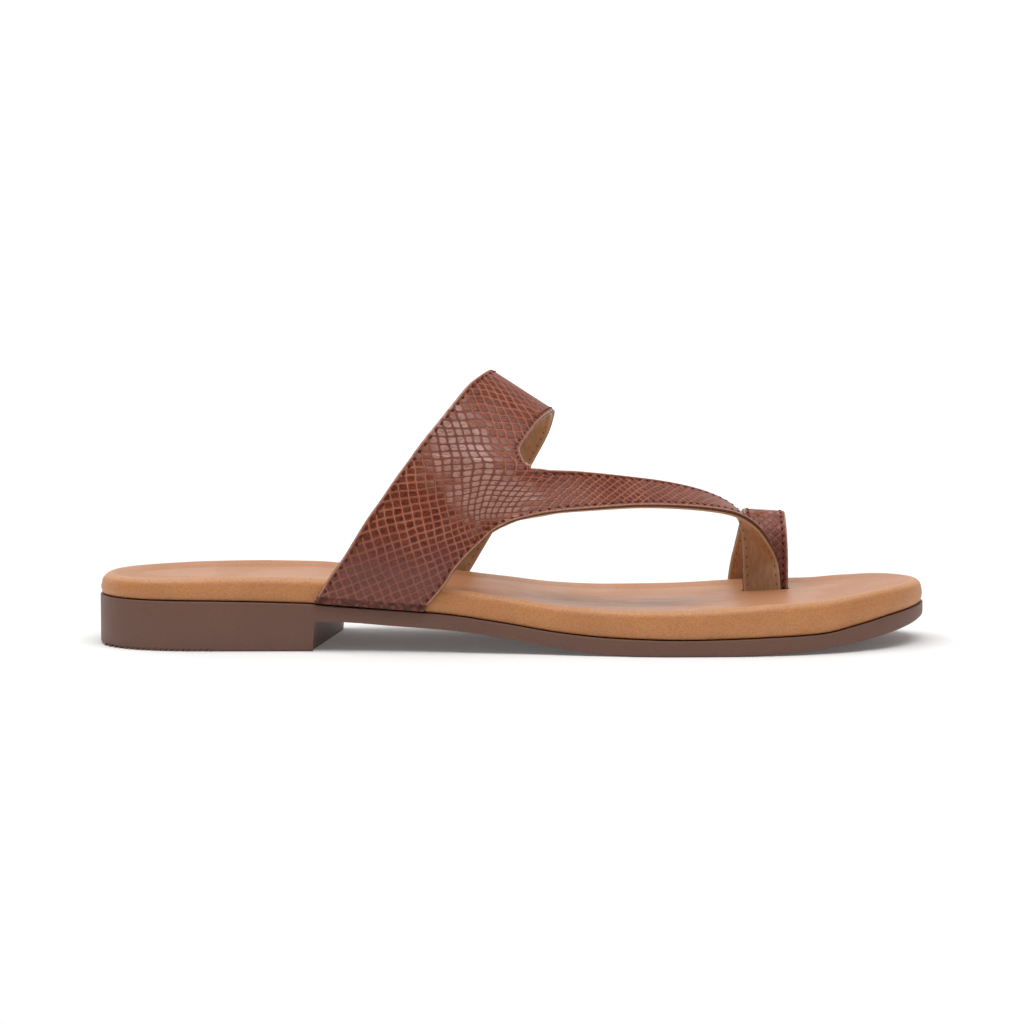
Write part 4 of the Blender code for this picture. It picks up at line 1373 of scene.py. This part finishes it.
# Random steps aside, from broad to fine. Columns: noise scale, detail, amount
NET_DRIFTS = ((0.33, 1.0, 0.55), (1.7, 2.0, 0.16))
NET, made, given, taken = new_effect(
    "scale_net",
    [("Count", "vector", None), ("Groove", "float", 0.12)],
    [(label, "float") for label in ("Dome", "Steep", "Level", "Chance", "Core")],
)
moved = given["Count"]
for scale, detail, amount in NET_DRIFTS:
    feeds = {"Vector": given["Count"], "Scale": scale, "Detail": detail}
    drift = made.add("ShaderNodeTexNoise", feeds).outputs["Color"]
    feeds = {0: drift, 1: (0.5, 0.5, 0.5)}
    drift = made.add("ShaderNodeVectorMath", feeds, operation="SUBTRACT").outputs[0]
    feeds = {0: drift, "Scale": amount}
    drift = made.add("ShaderNodeVectorMath", feeds, operation="SCALE").outputs[0]
    moved = made.add("ShaderNodeVectorMath", {0: moved, 1: drift}).outputs[0]
parts = made.add("ShaderNodeSeparateXYZ", {0: moved}).outputs
centred = []
for axis in ("X", "Y"):
    part = made.math("FRACT", parts[axis])
    centred.append(made.math("ABSOLUTE", made.math("MULTIPLY_ADD", part, 2.0, -1.0)))
powers = [made.math("POWER", c, SCALE_ROUNDNESS) for c in centred]
radius = made.math("POWER", made.math("ADD", *powers), 1 / SCALE_ROUNDNESS)
inner = made.math("SUBTRACT", 1.0, given["Groove"])
made.feed(taken["Dome"], made.step(radius, 1.0, made.math("SUBTRACT", inner, 0.32)))
made.feed(taken["Core"], made.step(radius, 0.92, 0.62))
made.feed(taken["Steep"], made.step(centred[0], inner, 1.0))
made.feed(taken["Level"], made.step(centred[1], inner, 1.0))
whole = made.add("ShaderNodeVectorMath", {0: moved}, operation="FLOOR").outputs[0]
chance = made.add("ShaderNodeTexWhiteNoise", {"Vector": whole}, noise_dimensions="2D")
made.feed(taken["Chance"], chance.outputs["Value"])
print("effect:", NET.name, "with", len(NET.nodes), "nodes")

# %% Snake leather
SNAKE, made, shader = new_material("snake_leather")
place = made.place()
count = made.add("ShaderNodeUVMap", uv_map="net").outputs[0]
edge = made.attribute("edge_mm")
net = made.effect(NET, Count=count, Groove=0.09)
height_z = made.add("ShaderNodeSeparateXYZ", {0: place}).outputs["Z"]
# Mask for a painted reflection of the white floor: full below 24 mm, gone above 40 mm
low = made.step(height_z, 0.040, 0.024)
mottle = made.noise(place, 1500.0, 3.0, 0.65)
broad = made.noise(place, 90.0, 3.0, 0.5)
chance = made.math("MULTIPLY", net["Chance"], 0.35)
# Mask of the glossy patches, where the scales are painted pale as a highlight of the overhead light
patchy = made.math("MULTIPLY_ADD", broad, 0.7, made.math("ADD", chance, made.attribute("polish")))
gloss_and_painted_highlight = made.step(patchy, 0.75, 1.45)

# %% [markdown]
# ## Colours of the scales
# Each scale has a dark, mottled middle and a redder border, with a fine light line along the
# groove. Where the overhead light reflects on the band this turns round, as a painted
# highlight: the middles are painted pale and the lines dark. One mask mixes the two states, so
# the change is soft, as on the real strap.

# %% Scale colours
border = made.mix(made.step(broad, 0.35, 0.65), linear(142, 66, 40), linear(162, 86, 58))
# In the painted highlight the borders and the lines turn dark and the middles pale
border = made.mix(gloss_and_painted_highlight, border, linear(128, 68, 52))
dark = made.mix(made.step(mottle, 0.40, 0.62), linear(78, 22, 8), linear(126, 54, 32))
dark = made.mix(gloss_and_painted_highlight, dark, linear(178, 128, 110))
core = made.math("MULTIPLY", net["Core"], made.step(net["Chance"], 0.0, 1.0, 0.78, 1.0))
colour = made.mix(core, border, dark)
line_light = made.mix(gloss_and_painted_highlight, linear(204, 146, 118), linear(100, 46, 34))
steep = made.math("MULTIPLY", net["Steep"], made.step(mottle, 0.2, 0.5, 0.45, 0.80))
colour = made.mix(steep, colour, line_light)
level = made.math("MULTIPLY", net["Level"], made.step(broad, 0.3, 0.7, 0.28, 0.65))
colour = made.mix(level, colour, line_light)
# Painted reflection of the white floor: the low part of the strap is tinted greyer and mauve
colour = made.tint(colour, low, 0.50, linear(118, 76, 70))

# %% [markdown]
# ## Edges, hem and folds of the leather
# The leather is turned over at its edges, so the net fades out there, the fold catches the light
# as a painted pale band, and the cut edge below it is dark. At the sole the hem is crimped into
# small lumps. Fine folds are painted darker, as shade in their creases. The attributes hold
# each point's distance from the edge and its height over the sole.

# %% Edge and hem colours
colour = made.tint(colour, made.step(edge, 0.95, 0.70), 0.55, linear(146, 84, 64))
bright = made.math("MULTIPLY", made.step(edge, 0.62, 0.42), made.step(edge, 0.10, 0.20))
colour = made.tint(colour, bright, 0.60, linear(212, 168, 140))
colour = made.tint(colour, made.step(edge, 0.16, 0.06), 0.85, linear(84, 54, 44))
hem_band = made.step(made.attribute("lift_mm"), 2.9, 2.4)
lumps = made.add("ShaderNodeTexVoronoi", {"Vector": place, "Scale": 640.0}).outputs["Distance"]
crimped = made.mix(made.step(lumps, 0.25, 0.65), linear(124, 62, 50), linear(70, 28, 20))
colour = made.tint(colour, hem_band, 0.8, crimped)
# Fine folds: the noise gives their relief, and painted shade darkens their lines, more so in the
# painted highlight
fold_line = made.noise(place, 900.0, 3.0, 0.6, (0.45, 1.0, 1.3))
crease_shade_share = made.step(gloss_and_painted_highlight, 0.0, 1.0, 0.15, 0.55)
colour = made.tint(colour, made.step(fold_line, 0.46, 0.36), crease_shade_share, linear(96, 46, 34))
made.feed(shader["Base Color"], colour)

# %% Shine and relief of the snake leather
polish = made.math("MULTIPLY", net["Dome"], made.step(mottle, 0.3, 0.7, 1.0, 0.8))
made.feed(shader["Roughness"], made.step(polish, 0.0, 1.0, 0.62, 0.36))
shader["Specular IOR Level"].default_value = 0.34
coat = made.math("MULTIPLY", polish, made.step(gloss_and_painted_highlight, 0.0, 1.0, 0.12, 0.85))
made.feed(shader["Coat Weight"], coat)
shader["Coat Roughness"].default_value = 0.27
fine = made.effect(GRAIN, Place=place, Scale=3200.0, Softness=0.6)
relief = made.math("MULTIPLY_ADD", fine["Height"], 0.10, net["Dome"])
folded = made.math("MULTIPLY", fold_line, made.step(gloss_and_painted_highlight, 0.0, 1.0, 0.45, 1.5))
relief = made.math("ADD", folded, relief)
relief = made.math("MULTIPLY_ADD", made.math("MULTIPLY", lumps, hem_band), -5.0, relief)
made.feed(shader["Normal"], made.bump(relief, 0.16 * MM, 1.0))
print("material:", SNAKE.name, "with", len(SNAKE.node_tree.nodes), "nodes")

# %% [markdown]
# ## Lining finish
# The lining is undyed beige leather with its rough side out. It has a short directional
# fibre and a low pile, no gloss, and an edge that is worn paler than the middle.

# %% Lining leather
LINING, made, shader = new_material("lining_leather")
place = made.place()
edge = made.attribute("edge_mm")
beige = (*linear(190, 152, 116), 1.0)
tone = made.effect(TONE, Place=place, Colour=beige, Amount=0.10, Scale=120.0)
fibre = made.noise(place, 900.0, 3.0, 0.6, (1.0, 1.0, 0.25))
colour = made.mix(made.step(fibre, 0.35, 0.7, 0.0, 0.30), tone["Colour"], linear(132, 96, 66))
colour = made.mix(made.step(edge, 0.75, 0.45, 0.0, 0.65), colour, linear(205, 172, 136))
made.feed(shader["Base Color"], colour)
made.feed(shader["Roughness"], made.step(fibre, 0.3, 0.7, 0.62, 0.74))
pile = made.effect(GRAIN, Place=place, Scale=2600.0, Softness=0.7)
made.feed(shader["Normal"], made.bump(pile["Height"], 0.04 * MM, 0.7))

# %% [markdown]
# ## Straps in place
# The upper and the toe loop get the same two layers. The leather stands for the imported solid,
# and the lining is a second piece on the same body, because it has a finish of its own.

# %% Straps in place
for name, sheet, folds, node in (
    ("strap", upper_sheet, STRAP_FOLDS, "upper"), ("loop", loop_sheet, (), "toe_loop"),
):
    leather = layer_object(name + "_leather", sheet, *leather_offsets(sheet, folds), 0.0, SNAKE)
    lining = layer_object(name + "_lining", sheet, *lining_offsets(sheet), LINING_INSET, LINING)
    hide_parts(node)
    for piece in (leather, lining):
        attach(piece, "root")
        print(piece.name, len(piece.data.polygons), "faces")

# %% [markdown]
# ## Stitches along every edge
# One row of dark thread runs just inside each edge, on the leather and again on the lining.
# Each row is drawn as a line on the surface, with the surface normal stored on its points.
# Geometry Nodes space small rounded stitches along it and lay each one flat.

# %% Stitch tree
STITCH, stitch_ids, made, given, taken = new_tree("edge_stitches", [
    ("Pitch", "NodeSocketFloat", 0.0021),
    ("Length", "NodeSocketFloat", 0.0013),
    ("Width", "NodeSocketFloat", 0.0005),
    ("Sink", "NodeSocketFloat", 0.0),
    ("Seed", "NodeSocketInt", 4),
    ("Thread", "NodeSocketMaterial", None),
])
line = made.add("GeometryNodeMeshToCurve", {"Mesh": given["Geometry"]})
feeds = {"Curve": line.outputs[0], "Length": given["Pitch"]}
spots = made.add("GeometryNodeCurveToPoints", feeds, mode="LENGTH")
facing = made.add("GeometryNodeInputNamedAttribute", {"Name": "facing"}, data_type="FLOAT_VECTOR")
turn = made.add("FunctionNodeAxesToRotation", {
    "Primary Axis": facing.outputs[0], "Secondary Axis": spots.outputs["Tangent"],
}, primary_axis="Z", secondary_axis="X")
bead = made.add("GeometryNodeMeshUVSphere", {"Segments": 8, "Rings": 5, "Radius": 0.5})
size = made.add("ShaderNodeCombineXYZ", {0: given["Length"], 1: given["Width"], 2: given["Width"]})
drop = made.add("ShaderNodeCombineXYZ", {2: made.math("MULTIPLY", given["Sink"], -1.0)})
shaped = made.add("GeometryNodeTransform", {
    "Geometry": bead.outputs[0], "Translation": drop.outputs[0], "Scale": size.outputs[0],
})
uneven = made.add("FunctionNodeRandomValue", {
    "Min": (0.88, 0.9, 0.9), "Max": (1.08, 1.1, 1.1), "Seed": given["Seed"],
}, data_type="FLOAT_VECTOR")
placed = made.add("GeometryNodeInstanceOnPoints", {
    "Points": spots.outputs[0], "Instance": shaped.outputs[0], "Rotation": turn.outputs[0],
    "Scale": uneven.outputs[0],
})
solid = made.add("GeometryNodeRealizeInstances", {"Geometry": placed.outputs[0]})
feeds = {"Geometry": solid.outputs[0], "Material": given["Thread"]}
dressed = made.add("GeometryNodeSetMaterial", feeds)
made.feed(taken["Geometry"], dressed.outputs[0])
print("tree:", STITCH.name, "with", len(STITCH.nodes), "nodes")

# %% Thread
THREAD, made, shader = new_material("waxed_thread")
place = made.place()
made.feed(shader["Base Color"], made.mix(
    made.step(made.noise(place, 2500.0), 0.3, 0.7), linear(76, 26, 15), linear(104, 42, 28)
))
shader["Roughness"].default_value = 0.55
shader["Specular IOR Level"].default_value = 0.2


# %% Stitch lines
STITCH_HEIGHT = HALF_WALL - 0.10 * MM
STITCH_SINK = 0.05 * MM
ROOT_GAP = 4 * MM
NOTCH_ROWS = 6


def edge_path(sheet, rows, column, start, end):
    """Vertices at the stitch inset in one column of rows, where an edge is near."""
    chosen = [row[column] for row in rows[start:end]]
    return [k for k in chosen if abs(sheet.edge_mm[k] - STITCH_INSET) < 0.35]


def stitch_object(name, sheet, paths, height, pitch, length, width):
    """The stitches of one surface of a sheet, at a height over the sheet."""
    sign = 1.0 if height > 0 else -1.0
    points, edges, facing = [], [], []
    for path in paths:
        spots = [Vector(sheet.xyz[k] + sheet.normals[k] * height) for k in path]
        for j, spot in enumerate(spots):
            if j:
                edges.append((len(points) - 1, len(points)))
            points.append(spot)
            facing.append(sheet.normals[path[j]] * sign)
    piece = mesh_object(name, points, [], None, smooth=False, edges=edges)
    layer = piece.data.attributes.new("facing", "FLOAT_VECTOR", "POINT")
    layer.data.foreach_set("vector", np.array(facing, np.float32).ravel())
    grow(piece, STITCH, stitch_ids, Pitch=pitch, Length=length, Width=width,
         Sink=STITCH_SINK, Thread=THREAD)
    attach(piece, "root")
    print(name, len(piece.data.polygons), "faces")
    return piece


# %% [markdown]
# ## Where the stitches run
# The heel edge of the band has one straight run. Its toe edge is broken by the strap's root,
# so one run goes on along the strap's lower edge, another comes back along its upper edge,
# and the tight curve of the notch between them has shorter stitches.

# %% Stitches on the straps
hem = MARGIN_ROWS + 1
upper_paths = [edge_path(upper_sheet, band_rows, STITCH_COLUMN, hem, -hem)]
front = edge_path(upper_sheet, band_rows, -1 - STITCH_COLUMN, hem, -hem)
strides = np.linalg.norm(np.diff(upper_sheet.xyz[front], axis=0), axis=1)
root_gap = int(np.argmax(strides > ROOT_GAP)) + 1
under_strap = edge_path(upper_sheet, strap_rows, -1 - STITCH_COLUMN, 1, None)
over_strap = edge_path(upper_sheet, strap_rows, STITCH_COLUMN, 1, None)
upper_paths.append(front[:root_gap] + under_strap)
notch_end = root_gap + NOTCH_ROWS * ROWS_BETWEEN
notch_path = front[root_gap:notch_end]
upper_paths += [over_strap[::-1], front[notch_end:]]
loop_paths = [edge_path(loop_sheet, loop_rows, column, 0, -hem)
              for column in (STITCH_COLUMN, -1 - STITCH_COLUMN)]
inner_paths = upper_paths + [notch_path]
# Columns: name, sheet, paths, height over the sheet, then pitch, length and width in mm
for name, sheet, paths, height, *sizes in (
    ("strap_stitches", upper_sheet, upper_paths, STITCH_HEIGHT, 2.85, 1.45, 0.86),
    ("notch_stitches", upper_sheet, [notch_path], STITCH_HEIGHT, 1.60, 0.95, 0.72),
    ("loop_stitches", loop_sheet, loop_paths, STITCH_HEIGHT, 2.3, 1.3, 0.86),
    ("strap_lining_stitches", upper_sheet, inner_paths, -STITCH_HEIGHT, 2.85, 1.2, 0.34),
    ("loop_lining_stitches", loop_sheet, loop_paths, -STITCH_HEIGHT, 2.3, 1.0, 0.32),
):
    stitch_object(name, sheet, paths, height, *(size * MM for size in sizes))

# %% [markdown]
# ## Studio
# The photograph is a plain catalogue shot: a white sweep, one broad soft light from above,
# and white all around, so that the shadow is soft and close to the sole. The camera stands
# low at the outer side with a long lens.


# %% White sweep
FLOOR_FRONT, FLOOR_BACK = -3.0, 1.2
SWEEP_RADIUS, SWEEP_TOP, SWEEP_HALF_WIDTH = 0.8, 3.0, 4.0


def make_sweep():
    """Floor that curves up into a backdrop, as one sheet."""
    profile = [(FLOOR_FRONT, 0.0), (FLOOR_BACK, 0.0)]
    for turn in range(6, 91, 6):
        a = radians(turn)
        profile.append((FLOOR_BACK + SWEEP_RADIUS * sin(a), SWEEP_RADIUS - SWEEP_RADIUS * cos(a)))
    profile.append((FLOOR_BACK + SWEEP_RADIUS, SWEEP_TOP))
    points = [(x, y, z) for y, z in profile for x in (-SWEEP_HALF_WIDTH, SWEEP_HALF_WIDTH)]
    faces = [(2 * i, 2 * i + 1, 2 * i + 3, 2 * i + 2) for i in range(len(profile) - 1)]
    return mesh_object("sweep", points, faces, None)


FLOOR_GLOW, BACKDROP_GLOW = 0.08, 0.55
WHITE, made, shader = new_material("white_sweep")
paper = made.noise(made.place(), 30.0)
made.feed(shader["Base Color"], made.mix(paper, (0.93, 0.93, 0.93), (0.95, 0.95, 0.95)))
shader["Roughness"].default_value = 0.85
shader["Specular IOR Level"].default_value = 0.1
shader["Emission Color"].default_value = (1.0, 1.0, 1.0, 1.0)
back = made.add("ShaderNodeSeparateXYZ", {0: made.place()}).outputs["Y"]
made.feed(shader["Emission Strength"], made.step(back, 0.05, 1.4, FLOOR_GLOW, BACKDROP_GLOW))
sweep = make_sweep()
sweep.data.materials.append(WHITE)
print("sweep faces", len(sweep.data.polygons))


# %% [markdown]
# ## Light and camera
# One wide panel hangs over the sandal and a dim white world fills the shadows. The camera is
# about a metre away and looks down a few degrees, so the near rim, the dished top and the
# inner leg of the toe loop are all in sight, as in the photograph.

# %% Lights
LIGHT_AT, LIGHT_AIM = Vector((-0.08, -0.14, 1.15)), Vector((0.0, 0.0, 0.03))
LIGHT_SIZE, LIGHT_POWER, WORLD_STRENGTH = (1.7, 0.80), 14.5, 0.20


def look(holder, place, target):
    """Place a lamp or a camera and turn it to a target."""
    holder.location = place
    holder.rotation_euler = (target - place).to_track_quat("-Z", "Y").to_euler()
    bpy.context.scene.collection.objects.link(holder)


lamp = bpy.data.lights.new("overhead", "AREA")
lamp.shape, lamp.size, lamp.size_y = "RECTANGLE", *LIGHT_SIZE
lamp.energy = LIGHT_POWER
look(bpy.data.objects.new("overhead", lamp), LIGHT_AT, LIGHT_AIM)
world = bpy.data.worlds.new("studio")
world.use_nodes = True
world.node_tree.nodes["Background"].inputs["Color"].default_value = (1.0, 1.0, 1.0, 1.0)
world.node_tree.nodes["Background"].inputs["Strength"].default_value = WORLD_STRENGTH
bpy.context.scene.world = world
bpy.context.scene.view_settings.view_transform = "Standard"

# %% Camera
LENS, SENSOR = 114.0, 36.0
CAMERA_AT, CAMERA_AIM = Vector((-0.00036, -1.0, 0.122)), Vector((-0.00036, 0.0, 0.0397))
eye = bpy.data.cameras.new("camera")
eye.lens, eye.sensor_width = LENS, SENSOR
camera = bpy.data.objects.new("camera", eye)
look(camera, CAMERA_AT, CAMERA_AIM)
bpy.context.scene.camera = camera
print("camera at", tuple(round(c, 3) for c in CAMERA_AT), "lens", LENS)

# %% [markdown]

# %% Finish
bpy.context.view_layer.update()
